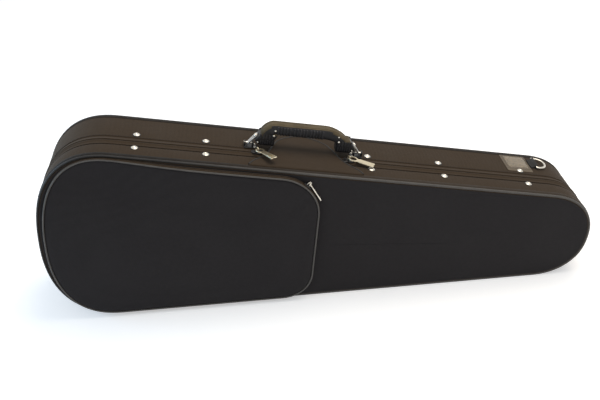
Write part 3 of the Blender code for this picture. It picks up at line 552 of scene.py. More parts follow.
def ribbed(name, colour, rib=0.0008, roughness=0.6, painted_shade_span=None):
    """Binding or webbing with ribs and worn crests; if asked, painted shade darkens it towards the wide end."""
    made, shader = plain(name, roughness, sheen_weight=0.04, sheen_roughness=0.5, specular_ior_level=0.3)
    where = places(made)
    ribs = total(made, bands(made, where, "Y", rib, 0.3), bands(made, where, "X", rib * 1.3, 0.3))
    worn = noise(made, where, 0.012, 4.0)
    mix = total(made, (ribs, 0.22), (worn, 0.5), clamp=True)
    # Painted shade: the colour falls towards the wide end over the given span of X.
    if painted_shade_span:
        place = node(made, "ShaderNodeSeparateXYZ", [("Vector", where)]).outputs["X"]
        mix = worked(made, "MULTIPLY", mix, spread(made, place, *painted_shade_span))
    tint = tinted(made, mix, shaded(colour, 0.15 if painted_shade_span else 0.6), shaded(colour, 1.6))
    return dress(made, shader, tint, spread(made, worn, 0.3, 0.7, roughness - 0.08, roughness + 0.08),
                 ribs, 0.45, rib * 0.3)


def moulded(name, colour, worn_colour, roughness=0.42, gloss=0.28):
    """Moulded plastic with a fine pebble and soft wear where hands rub it."""
    made, shader = plain(name, roughness, specular_ior_level=gloss)
    where = places(made)
    pebble = noise(made, where, 0.0009, 3.0, 0.6)
    rub = noise(made, where, 0.014, 5.0)
    tint = tinted(made, spread(made, rub, 0.38, 0.68), colour, worn_colour)
    return dress(made, shader, tint, spread(made, rub, 0.3, 0.75, roughness + 0.06, roughness - 0.12),
                 pebble, 0.22, 0.0002)


def metal(name, colour, roughness, tarnish):
    """Plated metal: fine scratches, cloudy polish and dull tarnish in patches."""
    made, shader = plain(name, roughness, 1.0)
    where = places(made)
    stretched = node(made, "ShaderNodeMapping", [("Vector", where)], scale=(0.12, 1.0, 1.0)).outputs["Vector"]
    scratch = noise(made, stretched, 0.0007, 4.0, 0.7)
    patch = noise(made, where, 0.006, 4.0)
    tint = tinted(made, spread(made, patch, 0.35, 0.75), colour, shaded(colour, tarnish))
    rough = total(made, spread(made, patch, 0.3, 0.7, roughness - 0.06, roughness + 0.1),
                  spread(made, scratch, 0.4, 0.7, 0.0, 0.1))
    return dress(made, shader, tint, rough, scratch, 0.12, 0.0001)


def plush(name, colour):
    """Cut-pile lining: a soft nap that is brushed lighter and darker in patches."""
    made, shader = plain(name, 0.95, sheen_weight=0.45, sheen_roughness=0.35, specular_ior_level=0.2)
    where = places(made)
    nap = noise(made, where, 0.0011, 3.0, 0.7)
    mix = total(made, (nap, 0.4), (noise(made, where, 0.035, 3.0), 0.6), clamp=True)
    tint = tinted(made, spread(made, mix, 0.32, 0.68), shaded(colour, 0.6), shaded(colour, 1.4))
    return dress(made, shader, tint, None, nap, 0.6, 0.0005)


def vinyl(name, colour):
    """Clear, slightly yellowed vinyl with a wavy surface."""
    made, shader = plain(name, 0.16, transmission_weight=0.72, ior=1.45)
    wave = noise(made, places(made), 0.012, 3.0)
    tint = tinted(made, wave, shaded(colour, 0.9), shaded(colour, 1.1))
    return dress(made, shader, tint, spread(made, wave, 0.3, 0.7, 0.1, 0.26), wave, 0.25, 0.0006)


def card(name, colour):
    """Plain card behind the window, with paper fibre."""
    made, shader = plain(name, 0.85)
    where = places(made)
    fibre = noise(made, where, 0.0012, 5.0, 0.7)
    mix = worked(made, "MULTIPLY", fibre, noise(made, where, 0.02, 3.0))
    return dress(made, shader, tinted(made, mix, shaded(colour, 0.8), shaded(colour, 1.15)), None, fibre,
                 0.2, 0.0002)


def make_finishes():
    c = hues()
    LOOKS.update({
        # The wall nylon is a lighter, browner copy of the face's black nylon: painted light from the warm lamp
        # above. The zip tape and the groove strips take their colour from it.
        "nylon": cloth("wall_nylon_painted_light", c.nylon, 0.0011),
        "face": cloth("face_nylon", c.face, 0.0011, contrast=0.2, mottle=0.35),
        "tape": cloth("zip_tape_weave", shaded(c.nylon, 1.05), 0.0007, contrast=0.3, strength=0.6),
        "binding": ribbed("edge_binding", c.binding),
        # The strip beside the back cord: the binding's own black, deepened as painted shade of the groove.
        "groove": ribbed("binding_tape_shade", shaded(c.nylon, 0.24), roughness=0.85),
        # Painted highlight: the pocket's welt is drawn much lighter than its black binding.
        "pocket_binding": ribbed("pocket_binding", c.pocket_binding, roughness=0.5),
        # Painted highlight and shade: the lid's cord is a lighter copy of the highlit piping, darkened towards
        # the wide end.
        "lid_binding": ribbed("lid_binding", shaded(c.pocket_binding, 1.25), roughness=0.5,
                              painted_shade_span=(-0.22, 0.0)),
        # Painted shade: the strip in the groove beside the lid's cord is a darker copy of the wall nylon, darkest
        # towards the wide end.
        "lid_groove": ribbed("lid_tape", shaded(c.nylon, 0.8), roughness=0.8, painted_shade_span=(-0.22, 0.1)),
        "tag": ribbed("tag_binding", c.tag),
        "webbing": ribbed("ribbed_webbing", shaded(c.binding, 1.5), 0.0013, 0.75),
        "thread": ribbed("sewing_thread", shaded(c.binding, 1.2), 0.0006, 0.55),
        "coil": moulded("zip_coil_nylon", shaded(c.binding, 0.8), shaded(c.binding, 1.8), 0.38),
        "moulding": moulded("handle_moulding", c.moulding, shaded(c.moulding, 1.9)),
        # Painted highlights: the ribs are lighter copies of the handle's moulding.
        "ribs": moulded("handle_rib_painted_highlights", shaded(c.moulding, 2.4), shaded(c.moulding, 4.5), 0.45),
        # Painted sheen: the handle's top is an olive-brown copy of its black moulding, as the warm lamp above
        # lights it.
        "rubbed": moulded("handle_painted_sheen_top", shaded(c.rubbed, 0.8), shaded(c.rubbed, 1.25), 0.58, 0.14),
        # Dark look for the foot plates, and for the zip sliders' metal bodies, which are drawn dark as painted
        # shade; the pocket slider's body wears it too.
        "blackened": moulded("darkened_metal", shaded(c.moulding, 1.1), shaded(c.moulding, 2.6), 0.36),
        "steel": metal("bright_steel", c.steel, 0.26, 0.7),
        "nickel": metal("plated_nickel", c.nickel, 0.2, 0.75),
        "brass": metal("pull_plating", c.pulls, 0.3, 0.7),
        "plush": plush("plush_lining", c.plush),
        "window": vinyl("clear_vinyl", c.window),
        "card": card("name_card", c.card),
    })


# Sizes and colours that a user would change

def size(name, about, value):
    return FloatProperty(name=name, description=about, default=value, min=0.0, unit="LENGTH", precision=4)


def share(name, about, value):
    return FloatProperty(name=name, description=about, default=value, min=0.0, max=1.0, subtype="FACTOR")


def angle(name, about, value):
    return FloatProperty(name=name, description=about, default=value, subtype="ANGLE")


def power(name, about, value):
    return FloatProperty(name=name, description=about, default=value, min=0, unit="POWER")


def hue(name, about, value):
    return FloatVectorProperty(name=name, description=about, default=value, min=0.0, max=1.0, size=3,
                               subtype="COLOR")


class CaseSizes(bpy.types.PropertyGroup):
    """The case's outline, covers and trim."""

    length: size("Length", "End to end along the case's axis", 0.79)
    wide_half: size("Wide Half", "Half of the width near the wide end", 0.1305)
    narrow_half: size("Narrow Half", "Half of the width near the narrow end", 0.0769)
    wide_reach: size("Wide Rounding", "How far the wide end's curve runs along the case", 0.1067)
    wide_power: FloatProperty(name="Wide Squareness", description="2 is an ellipse", default=2.33, min=2.0)
    narrow_reach: size("Narrow Rounding", "How far the narrow end's curve runs along the case", 0.0706)
    narrow_power: FloatProperty(name="Narrow Squareness", description="2 is an ellipse", default=2.29, min=2.0)
    depth: size("Depth", "Through the closed case", 0.12)
    lid_depth: size("Lid Depth", "From the lid's face to the parting", 0.0435)
    wall: size("Wall", "Foam and fabric together", 0.007)
    back_round: size("Back Rounding", "Radius of the back edge", 0.0085)
    front_round: size("Front Rounding", "Radius of the lid's edge", 0.0065)
    bulge: size("Bulge", "How far padding pushes the walls out", 0.0004)
    ripple: size("Ripple", "Height of the soft waves in the cover", 0.0005)
    piping: size("Piping", "Radius of the welt round the edges", 0.00175)
    band: size("Band", "From the parting to the seam beside the zip", 0.011)
    recess: size("Recess", "How deep the zip lies", 0.0014)
    zip_end: size("Zip End", "Height at which the zip stops at each end", 0.02)
    tooth_pitch: size("Tooth Pitch", "Spacing of the zip's coil", 0.0014)
    stitch_pitch: size("Stitch Pitch", "Spacing of the seam's stitches", 0.0042)


class CaseColours(bpy.types.PropertyGroup):
    """The case's colours."""

    # Painted light: lighter and browner than the face nylon, as the walls are lit from above.
    nylon: hue("Wall Nylon", "Fabric of the side walls", (0.0425, 0.0290, 0.0178))
    face: hue("Face Nylon", "Fabric of the lid's face and the pocket", (0.0208, 0.0190, 0.0202))
    binding: hue("Binding", "Piping and bound edges", (0.012, 0.0112, 0.0105))
    # Painted highlight: much lighter than the black binding that it is.
    pocket_binding: hue("Pocket Piping", "Welt round the pocket and the lid", (0.073, 0.068, 0.062))
    tag: hue("Tag Binding", "Bound edge of the name tag", (0.115, 0.090, 0.062))
    moulding: hue("Moulding", "Plastic of the handle", (0.0075, 0.0072, 0.0078))
    # Painted sheen of the warm lamp above on the handle's black top.
    rubbed: hue("Painted Sheen Top", "Top of the handle", (0.088, 0.068, 0.038))
    steel: hue("Steel", "Handle straps and feet", (0.56, 0.55, 0.53))
    nickel: hue("Nickel", "Rivets and rings", (0.72, 0.68, 0.60))
    pulls: hue("Pulls", "Zip sliders and pulls", (0.66, 0.58, 0.42))
    plush: hue("Plush", "Lining and bed", (0.05, 0.055, 0.075))
    window: hue("Window", "Clear vinyl of the name tag", (0.50, 0.41, 0.28))
    card: hue("Card", "Blank card in the name tag", (0.155, 0.125, 0.088))
    floor: hue("Floor", "Surface that the case stands on", (0.93, 0.93, 0.93))


# Covers

def cover(prefix, inward, face_y, edge_round, face_look):
    """Half of the case as one soft shell: face, padded wall, sunk band, rim and lined inside."""
    c = case()
    path = outline()
    total_y = abs(face_y - parting_y()) - GAP / 2
    band_start = abs(face_y - parting_y()) - c.band
    scale = 9
    rings = []
    kinds = []

    def ring(points, inset_y, kind, soft=0.0):
        waves = [soft * mathutils.noise.noise(Vector((p.x * scale, face_y * 4, p.y * scale))) for p in points]
        rings.append([Vector((p.x, face_y - inward * inset_y + wave, p.y)) for p, wave in zip(points, waves)])
        kinds.append(kind)

    for part in (0.12, 0.3, 0.48, 0.64, 0.78, 0.88):
        ring(toward_spine(path, part), 0.0, 1, c.ripple * (1 - part ** 4))
    ring(grown(path, -edge_round * 1.5), 0.0, 1)
    ring(grown(path, -edge_round * 1.12), edge_round * 0.03, 1)
    for step in range(6):
        turn = math.pi / 2 * step / 5
        ring(grown(path, -edge_round * (1 - math.sin(turn))), edge_round * (1 - math.cos(turn)), int(step < 2))
    for part in (0.12, 0.3, 0.5, 0.7, 0.88):
        ring(grown(path, c.bulge * math.sin(math.pi * part)), edge_round + (band_start - edge_round) * part, 0)
    recess = c.recess
    wall = c.wall
    for inset, depth, kind in ((recess * 0.1, band_start - recess * 0.5, 0), (recess * 0.9, band_start, 0),
                               (recess, band_start + recess * 0.6, 0), (recess, total_y, 0),
                               (recess * 1.6, total_y, 0), (wall - recess * 0.3, total_y, 2),
                               (wall, total_y - recess * 0.5, 2), (wall, wall * 1.5, 2), (wall * 1.3, wall, 2)):
        ring(grown(path, -inset), depth, kind)
    for part in (0.7, 0.35, 0.1):
        ring(toward_spine(path, part), wall, 2)
    shape = bridged(rings, look_of=lambda index: kinds[min(index + 1, len(kinds) - 1)])
    finish(f"{prefix}_cover", shape, ("nylon", face_look, "plush"), smooth=50, body=prefix,
           replaced=(f"{prefix}_shell",), slot="nylon")


def piping(prefix, inward, face_y, edge_round, cord_look, groove_shade_look, lap):
    """A cord in folded binding, with the binding's tape lying on the rounded edge beside it, drawn dark as
    painted shade of the groove between wall and cord.
    """
    c = case()
    name = f"{prefix}_cord"
    inset = (edge_round / math.sqrt(2) - c.piping - GAP) / math.sqrt(2)
    cord = sweep(upright(grown(outline(), -inset), face_y - inward * inset), circle(c.piping, fine(12)),
                 closed=True)
    finish(name, cord, cord_look, smooth=60, body=prefix, replaced=(f"{prefix}_piping",), slot="binding")
    turns = [math.radians(10 * step) for step in range(5)]
    section = []
    for lift, line in ((0.0007, turns), (-0.0002, turns[::-1])):
        laid = [(-min(lift, 0.0002), -lap), (-lift, -lap + 0.0006)]
        bent = []
        for turn in line:
            reach = edge_round + (lift if turn != turns[-1] else min(lift, 0.0001))
            bent.append((edge_round - reach * math.cos(turn), reach * math.sin(turn)))
        section += laid + bent if line is turns else bent + laid[::-1]
    tape = bridged([upright(grown(outline(), -drawn), face_y - inward * (edge_round - climb))
                    for drawn, climb in section], loop=True)
    finish(name + "_tape", tape, groove_shade_look, smooth=50, body=prefix, slot="binding")


def zip_tape(prefix, inward):
    """Woven tape that rolls over the coil beside the parting."""
    c = case()
    seat = -c.recess + GAP
    edge = c.band - TAPE_EDGE
    top = ((edge, 0.0006), (0.0052, 0.0008), (0.0040, 0.0012), (0.0027, 0.0019), (0.0016, 0.0020),
           (0.0010, 0.0015), (0.0009, 0.0010))
    under = ((0.0016, 0.0012), (0.0027, 0.0010), (0.0042, 0.0002), (edge, 0.0))
    shape = bridged([[Vector((p.x + out.x * (seat + h), parting_y() + inward * t, p.y + out.y * (seat + h)))
                      for t, h in top + under] for p, out in zip_run(c.zip_end)])
    finish(f"{prefix}_tape", shape, "tape", smooth=60, body=prefix, replaced=(f"{prefix}_zip_tape",), slot="tape")


def coil_teeth(run, pitch, inward, middle_y, height, stations):
    """One half of a coil: small nylon loops, each with a head that locks between its neighbours."""
    shape = bmesh.new()
    for spot, way, out in along(run, pitch, 0.0 if inward > 0 else pitch / 2):
        bridged([upright([spot + way * (pitch * 0.27 * wide * a) + out * (height + tall * b)
                          for a, b in circle(1.0, 6)], middle_y + inward * t)
                 for t, wide, tall in stations], shape)
    return shape


def zip_coil(prefix, inward):
    c = case()
    stations = ((0.0024, 0.7, 0.0004), (0.0008, 0.75, 0.00045), (-0.0001, 1.0, 0.0006), (-0.0004, 0.6, 0.0004))
    shape = coil_teeth(zip_run(c.zip_end + 0.002), c.tooth_pitch * fine(1), inward,
                       parting_y() + inward * GAP, GAP + 0.0007 - c.recess, stations)
    finish(f"{prefix}_coil", shape, "coil", smooth=60, body=prefix, replaced=(f"{prefix}_zip_coil",), slot="coil")


def stitches(prefix, inward, distance):
    """A run of lockstitch round the wall beside the zip's band."""
    c = case()
    length = c.stitch_pitch * 0.72
    thick = 0.00022
    stations = [(s * length, h, wide * thick, thick)
                for s, h, wide in ((-0.5, -0.0001, 0.4), (-0.3, 0.00018, 1), (0.3, 0.00018, 1),
                                   (0.5, -0.0001, 0.4))]
    run = outward(outline())
    shape = bmesh.new()
    for spot, way, out in along(run + run[:1], c.stitch_pitch):
        stitch(shape, Vector((spot.x, parting_y() + inward * distance, spot.y)), Vector((way.x, 0, way.y)),
               Vector((0, -inward, 0)), Vector((out.x, 0, out.y)), stations)
    finish(f"{prefix}_seam", shape, "thread", smooth=70, body=prefix, slot="binding")


def hinge_cloth():
    """One strip of tape under the case, along the line where the lid turns."""
    low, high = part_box("base_hinge_cloth")
    reach = case().band - TAPE_EDGE
    rows = fine(24)
    columns = 30
    length = high[0] - low[0]
    depths = [parting_y() + reach * (1 - 2 * step / rows) for step in range(rows + 1)]
    under = [(y, low[2] + 0.0005 * math.exp(-((y - parting_y()) / 0.0012) ** 2)) for y in depths]
    section = under + [(y, z + 0.0007) for y, z in reversed(under)]
    shape = bridged([[Vector((low[0] + length * column / columns, y, z)) for y, z in section]
                     for column in range(columns + 1)])
    made = finish("hinge_cloth", shape, "tape", smooth=60, replaced=("base_hinge_cloth", "lid_hinge_cloth"),
                  slot="tape")
    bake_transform(made)


# Hardware

def pull_frame(joint, name, out):
    """At a pull's pin: X along the pull, Y along the pin, Z towards the side it is seen from."""
    place = joint_place(joint)
    y = joint_axis(joint)
    x = middle_of(name) - place
    x = (x - y * x.dot(y)).normalized()
    z = x.cross(y)
    if z.dot(out) < 0:
        y, z = -y, -z
    return framed(x, y, z, place)


def rivet_head(prefix, number):
    """A pressed rivet: a spun dome with a dimple, in a washer of puckered cloth drawn dark as painted shade round
    it.
    """
    name = f"{prefix}_rivet_{number}"
    seat = middle_of(name)
    low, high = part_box(name)
    radius = (high[1] - low[1]) / 2
    top = 0.0022
    steps = fine(28)
    dome = ((0.02, 0.74), (0.12, 0.76), (0.24, 0.88), (0.31, 0.99), (0.4, 1.0), (0.58, 0.93), (0.74, 0.78),
            (0.86, 0.58), (0.93, 0.42), (0.985, 0.4), (1.0, 0.32), (0.98, 0.16), (0.9, 0.14), (0.02, 0.14))
    shape = turned([(radius * r, top * h) for r, h in dome], steps)
    count = len(shape.faces)
    washer = ((0.8, 0.05), (1.02, 0.2), (1.14, 0.22), (1.26, 0.12), (1.34, -0.04), (0.8, -0.06))
    bridged([flat(circle(radius * r, steps), top * h) for r, h in washer], shape, loop=True)
    shape.faces.ensure_lookup_table()
    # The washer's faces wear the dark binding: painted shade round the rivet.
    for face in shape.faces[count:]:
        face.material_index = 1
    finish(f"{prefix}_rivet_head_{number}", shape, ("nickel", "binding"), on_top(seat.x, seat.y), smooth=50,
           body=prefix, replaced=(name,), slot="nickel")


def slider_plate(half, side_half, shares, radius, crown):
    """A slider's waisted plate, wider at its shoulders, its top drawn in."""
    edge = rounded(mirrored([(half * u, side_half * v) for u, v in shares]), radius, 3)
    return bridged([flat([(a * (1 - inset), b * (1 - inset)) for a, b in edge], z) for inset, z in crown])


def zip_slider(side):
    """A cast slider with side flanges and an arch that holds the pull."""
    name = f"zip_slider_{side}"
    x = middle_of(name).x
    place = on_top(x, parting_y())
    low = 0.0011
    top = 0.0027
    half = 0.0078
    side_half = 0.0053
    sign = 1 if side == "left" else -1
    shares = ((-1.0, 0.52), (-0.82, 0.7), (-0.2, 0.74), (0.15, 0.86), (0.5, 1.0), (0.85, 0.96), (1.0, 0.72))
    crown = [(0.0, low), (0.0, top - 0.0005), (0.12, top - 0.0001), (0.3, top)]
    shape = slider_plate(sign * half, side_half, shares, 0.0012, crown)
    for lip in (-0.78, 0.78):
        across = lip * side_half
        block((-half * 0.8, across - 0.0004, GAP), (half * 0.8, across + 0.0004, low + 0.0002), shape)
    # The cast metal body is drawn dark as painted shade under the handle's end block.
    softened(finish(name + "_body", shape, "blackened", place, smooth=45, body=f"slider_{side}", replaced=(name,),
                    slot="nickel"), 0.0002)
    out = place.to_3x3() @ Vector((0, 0, 1))
    pin = pull_frame(f"pull_{side}_hinge", f"zip_pull_{side}", out)
    seat = (place.translation + out * top - pin.translation).dot(pin.to_3x3() @ Vector((0, 0, 1)))
    pull_arch(name + "_arch", pin, seat, "brass", f"slider_{side}", 0.0023)
    zip_pull(f"zip_pull_{side}", pin, 0.037, 0.0050, f"pull_{side}", "brass")


def pull_arch(name, pin, seat, look, body, reach):
    """The arch on a slider that the pull's ring turns in."""
    height = 0.0011 + reach * 0.35
    steps = 12
    sunk = seat - 0.0002
    points = [Vector((-reach, 0, sunk))]
    for step in range(steps + 1):
        turn = math.pi * (1 - step / steps)
        points.append(Vector((reach * math.cos(turn), 0, height * 0.35 + height * math.sin(turn))))
    points.append(Vector((reach, 0, sunk)))
    wide = 0.0009
    thick = 0.00045
    section = rounded(((-wide, -thick), (wide, -thick), (wide, thick), (-wide, thick)), 0.0003, 2)
    finish(name, sweep(points, section), look, pin, smooth=50, body=body, slot="nickel")


def zip_pull(name, pin, length, half, body, look):
    """A cast pull: an oval ring round the arch, a neck, and a blade that widens to a flared end."""
    eye = half * 1.25
    centre = eye * 1.1 - 0.0008
    steps = fine(12)
    eye_arc = math.radians(138)
    turns = [math.pi + eye_arc * step / steps for step in range(steps + 1)]
    lower = [(centre + eye * 1.1 * math.cos(turn), eye * math.sin(turn)) for turn in turns]
    neck = centre + eye * 1.25
    blade = ((neck - 0.0004, -half * 0.62), (neck + 0.0016, -half * 0.9), (length * 0.7, -half * 0.92),
             (length - 0.0026, -half * 1.04), (length - 0.0006, -half * 1.06), (length, -half * 0.8),
             (length + 0.0001, -half * 0.42), (length - 0.0009, -half * 0.1))
    last = turns[-1]
    turns += [last + (2 * math.pi - last) * step / (len(blade) + 1) for step in range(1, len(blade) + 1)]
    lower += blade
    outer = lower + [(a, -b) for a, b in reversed(lower[1:])]
    turns = turns + [-turn for turn in reversed(turns[1:])]
    hole = [(centre + eye * 0.78 * math.cos(turn), eye * 0.68 * math.sin(turn)) for turn in turns]
    thick = 0.0008
    drawn = shrunk(outer, 0.00035)
    layers = ((outer, -0.6), (outer, 0.4), (drawn, 1), (hole, 0.9), (hole, -0.9), (drawn, -1))
    shape = bridged([flat(points, thick * up) for points, up in layers], loop=True)
    finish(name + "_cast", shape, look, pin, smooth=40, body=body, replaced=(name,), slot="nickel")
    ridges = bmesh.new()
    wide = half * 0.66
    pitch = 0.0013
    ridge = 0.0006
    for number in range(4):
        start = length * 0.76 + number * pitch
        block((start, -wide, thick * 0.85), (start + ridge, wide, thick + 0.00025), ridges)
    finish(name + "_ridges", ridges, look, pin, smooth=30, body=body, slot="nickel")


def flap():
    """The bell-shaped flap: padded cloth over the zip, bound along its free edge and sewn to the lid."""
    name = "zip_flap"
    low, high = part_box(name)
    reach = high[1] - low[1]
    half_wide = (high[0] - low[0]) / 2 / math.cos(2 * taper())
    widths = ((0.0, 1.0), (0.12, 0.92), (0.24, 0.77), (0.36, 0.665), (0.5, 0.6), (0.65, 0.54), (0.8, 0.45),
              (0.91, 0.31), (0.975, 0.16), (1.0, 0.02))
    rows = fine(44)
    columns = 20
    lift = 0.0011
    thick = 0.0014
    ahead = 0.0017

    def width_at(part):
        for (a, wide_a), (b, wide_b) in zip(widths, widths[1:]):
            if part <= b:
                return wide_a + (wide_b - wide_a) * (part - a) / (b - a)
        return widths[-1][1]

    def row_share(row):
        return 1 - (1 - row / rows) ** 1.6 if row > rows * 0.6 else row / rows * (1 - 0.4 ** 1.6) / 0.6

    def lines(height, draw):
        made = []
        for row in range(-3, rows + 1):
            tuck = max(0, -row) / 3
            part = row_share(max(row, 0)) - tuck * ahead / reach
            inner = max(part, 0)
            up = height - (height - 0.0002) * tuck ** 2 * 0.85
            half = width_at(inner) * half_wide * draw
            line = []
            for column in range(columns + 1):
                u = 2 * column / columns - 1
                dome = 0.0005 * (1 - u ** 4) * math.sin(math.pi * min(inner * 1.1, 1))
                line.append(Vector((u * half, part * reach, up + dome)))
            made.append(line)
        return made

    under = lines(lift, 0.995)
    over = lines(lift + thick, 0.99)
    place = on_top(middle_of(name).x - 0.0003, low[1])
    shape = bridged([lower + upper[::-1] for lower, upper in zip(under, over)])
    made = finish("flap_cloth", shape, "nylon", place, smooth=50, body="lid", replaced=(name,), slot="nylon")
    edge = [line[0] for line in under] + [line[-1] for line in reversed(under)]
    points = [Vector((p.x, p.y, lift + thick * 0.5)) for p in edge]
    smoothed = points[:1] + [(a + b * 2 + c) / 4 for a, b, c in zip(points, points[1:], points[2:])] + points[-1:]
    bound = sweep(smoothed[3:-3], circle(0.0014, 8), up=Vector((0, 0, 1)))
    trim = finish("flap_binding", bound, "binding", place, smooth=60, body="lid", slot="binding")


# Handle, in its own frame: X along the top side, Y across it, Z square to it, from the line it swings on

class HandleSizes(bpy.types.PropertyGroup):
    """The handle, its end blocks, straps and feet."""

    spacing: size("Foot Spacing", "Between the two pins", 0.158)
    top: size("Grip Height", "From the pins up to the grip's top", 0.0342)
    thickness: size("Grip Thickness", "Up through the grip", 0.015)
    width: size("Grip Width", "Across the grip", 0.017)
    flat: size("Flat", "Length of the grip's straight top", 0.07)
    shift: size("Flat Shift", "How far the straight top sits towards the wide end", 0.0095)
    ends: size("End Spacing", "Between the grip's two lower ends", 0.107)
    end_shift: size("End Shift", "How far the lower ends sit towards the wide end", 0.003)
    end_height: size("End Height", "From the pins up to the grip's lower ends", 0.016)
    block_low: size("Block Height", "From the pins up to the end blocks", 0.001)
    block_outer: size("Block Corner Height", "From the pins up to the blocks' outer corners", 0.0082)
    block_start: size("Block Start", "From a pin to its block's underside", 0.015)
    block_end: size("Block End", "From a pin to its block's inner end", 0.0355)
    slant: angle("Strap Slant", "Angle of the steel strap off the case", math.radians(53))
    strap: size("Strap Length", "From the pin to the strap's rivet", 0.015)
    rib_pitch: size("Rib Pitch", "Spacing of the ribs under the fingers", 0.0042)
    rib_group: IntProperty(name="Ribs", description="Ribs in each group", default=5, min=1)


def handle_sizes():
    return bpy.context.scene.violin_case_handle


def handle_frame():
    """The handle's frame, on the line that it swings on."""
    x = joint_axis("handle_swing")
    y = Vector((0, 1, 0))
    return framed(x, y, x.cross(y), joint_place("handle_swing"))


def grip_section(extra=0.0):
    """The grip's cross-section as height and width, its corners rounded."""
    h = handle_sizes()
    corner = 0.0030
    up = h.thickness / 2 + extra - corner
    side = h.width / 2 + extra - corner
    return [(centre_up + a, centre_side + b)
            for start, (centre_up, centre_side) in enumerate(((up, side), (-up, side), (-up, -side), (up, -side)))
            for a, b in circle(corner, 4, math.pi / 2 * start, math.pi / 2, 1)]


def grip_path():
    """Stations of place, height and lean: up out of one block, a 45 degree facet, the flat, and down again."""
    h = handle_sizes()
    middle = h.top - h.thickness / 2
    drop = middle - h.end_height
    halves = []
    for sign in (1, -1):
        flat_half = h.flat / 2 + sign * h.shift
        reach = h.ends / 2 + sign * h.end_shift
        half = [(-reach, h.end_height, 88), (-reach + 0.0003, h.end_height + drop * 0.15, 80)]
        half += [(-reach + (reach - flat_half) * inward, h.end_height + drop * up, lean)
                 for inward, up, lean in ((0.08, 0.34, 64), (0.26, 0.58, 52), (0.5, 0.8, 40), (0.7, 0.93, 27),
                                          (0.87, 0.99, 12))]
        halves.append(half + [(-flat_half, middle, 0), (-flat_half * 0.5, middle, 0)])
    return halves[0] + [(0.0, middle, 0)] + [(-s, up, -lean) for s, up, lean in reversed(halves[1])]


def handle_grip():
    h = handle_sizes()
    section = grip_section()
    path = grip_path()

    def on_path(a, b, station):
        s, up, lean = station
        way = math.radians(lean)
        return Vector((s - a * math.sin(way), b, up + a * math.cos(way)))

    shape = bridged([[on_path(a, b * (1 + 0.12 * min(abs(station[2]) / 45, 1)), station) for a, b in section]
                     for station in path])
    leans = [abs(lean) for s, up, lean in path]
    count = len(section)
    shape.faces.ensure_lookup_table()
    steep = 20
    for index in range(count * (len(path) - 1)):
        side = index % count
        low = min(section[side][0], section[(side + 1) % count][0])
        sloped = leans[index // count] > steep and leans[index // count + 1] > steep
        # Faces above this height wear the painted sheen; on the slopes it reaches further down.
        sheen_from = h.thickness * (0.1 if sloped else 0.40)
        shape.faces[index].material_index = int(low > sheen_from)
    finish("handle_grip_body", shape, ("moulding", "rubbed"), handle_frame(), smooth=38, body="handle",
           replaced=("handle_grip",), slot="moulding")
    # Beads along the top's edges, drawn in the painted sheen as a highlight line.
    beads = bmesh.new()
    for sign in (-1, 1):
        aside = sign * (h.width / 2 - 0.0035)
        line = [on_path(h.thickness / 2 + 0.0001, aside, station) for station in path[1:-1]]
        sweep(line, circle(0.0005, 6), shape=beads)
    finish("handle_grip_beads", beads, "rubbed", handle_frame(), smooth=60, body="handle", slot="moulding")


def handle_ribs():
    """Groups of ribs that wrap the grip's front, underside and back."""
    h = handle_sizes()
    middle = h.top - h.thickness / 2
    highest = h.thickness * 0.36
    around = sorted([p for p in grip_section(-0.0001) if p[0] < highest], key=lambda p: math.atan2(p[1], -p[0]))
    around = [Vector(p) for p in [(highest, around[0][1])] + around + [(highest, around[-1][1])]]
    group = h.rib_group * h.rib_pitch
    gap = (h.flat - 3 * group) / 4
    shape = bmesh.new()
    for number in range(3):
        start = -h.flat / 2 - h.shift + gap + number * (group + gap) + h.rib_pitch / 2
        for rib in range(h.rib_group):
            rings = []
            for index, spot in enumerate(around):
                proud = spot.normalized() * (0.00012 if index in (0, len(around) - 1) else 0.0011)
                profile = ((-0.0013, spot), (-0.0007, spot + proud), (0.0007, spot + proud), (0.0013, spot))
                rings.append([Vector((start + rib * h.rib_pitch + ds, p.y, middle + p.x)) for ds, p in profile])
            bridged(rings, shape)
    # The ribs wear lighter moulding as painted highlights.
    finish("handle_grip_ribs", shape, "ribs", handle_frame(), smooth=40, body="handle", slot="moulding")


def foot_frame(sign):
    """At a foot's pin, X towards the middle of the handle."""
    turn = Matrix.Identity(4) if sign < 0 else Matrix.Rotation(math.pi, 4, "Z")
    return handle_frame() @ turn @ Matrix.Translation((-handle_sizes().spacing / 2, 0, 0))


def block_heights():
    """Heights of an end block's underside, of the step below its collar and of the collar's top."""
    h = handle_sizes()
    return h.block_low, h.block_low + (h.end_height - h.block_low) * 0.66, h.end_height + 0.0054


def block_begin(up):
    """Where an end block begins at a height: along its strap, or along the bevel under its outer corner."""
    h = handle_sizes()
    slope = math.tan(h.slant)
    strap_half = 0.0012 / math.sin(h.slant)
    if up > h.block_outer:
        return strap_half + up / slope
    corner = strap_half + h.block_outer / slope
    return h.block_start + (corner - h.block_start) * (up - h.block_low) / (h.block_outer - h.block_low)


def block_levels(levels):
    """An end block's form from its height, half its width and its inset at each level."""
    split = block_heights()[1]
    rings = []
    for up, wide, inset in levels:
        far = handle_sizes().block_end + max(up - split, 0) * 0.4 - inset
        start = block_begin(up) + inset
        rings.append(flat(rounded(((start, -wide), (far, -wide), (far, wide), (start, wide)), 0.0016, 3), up))
    return bridged(rings)


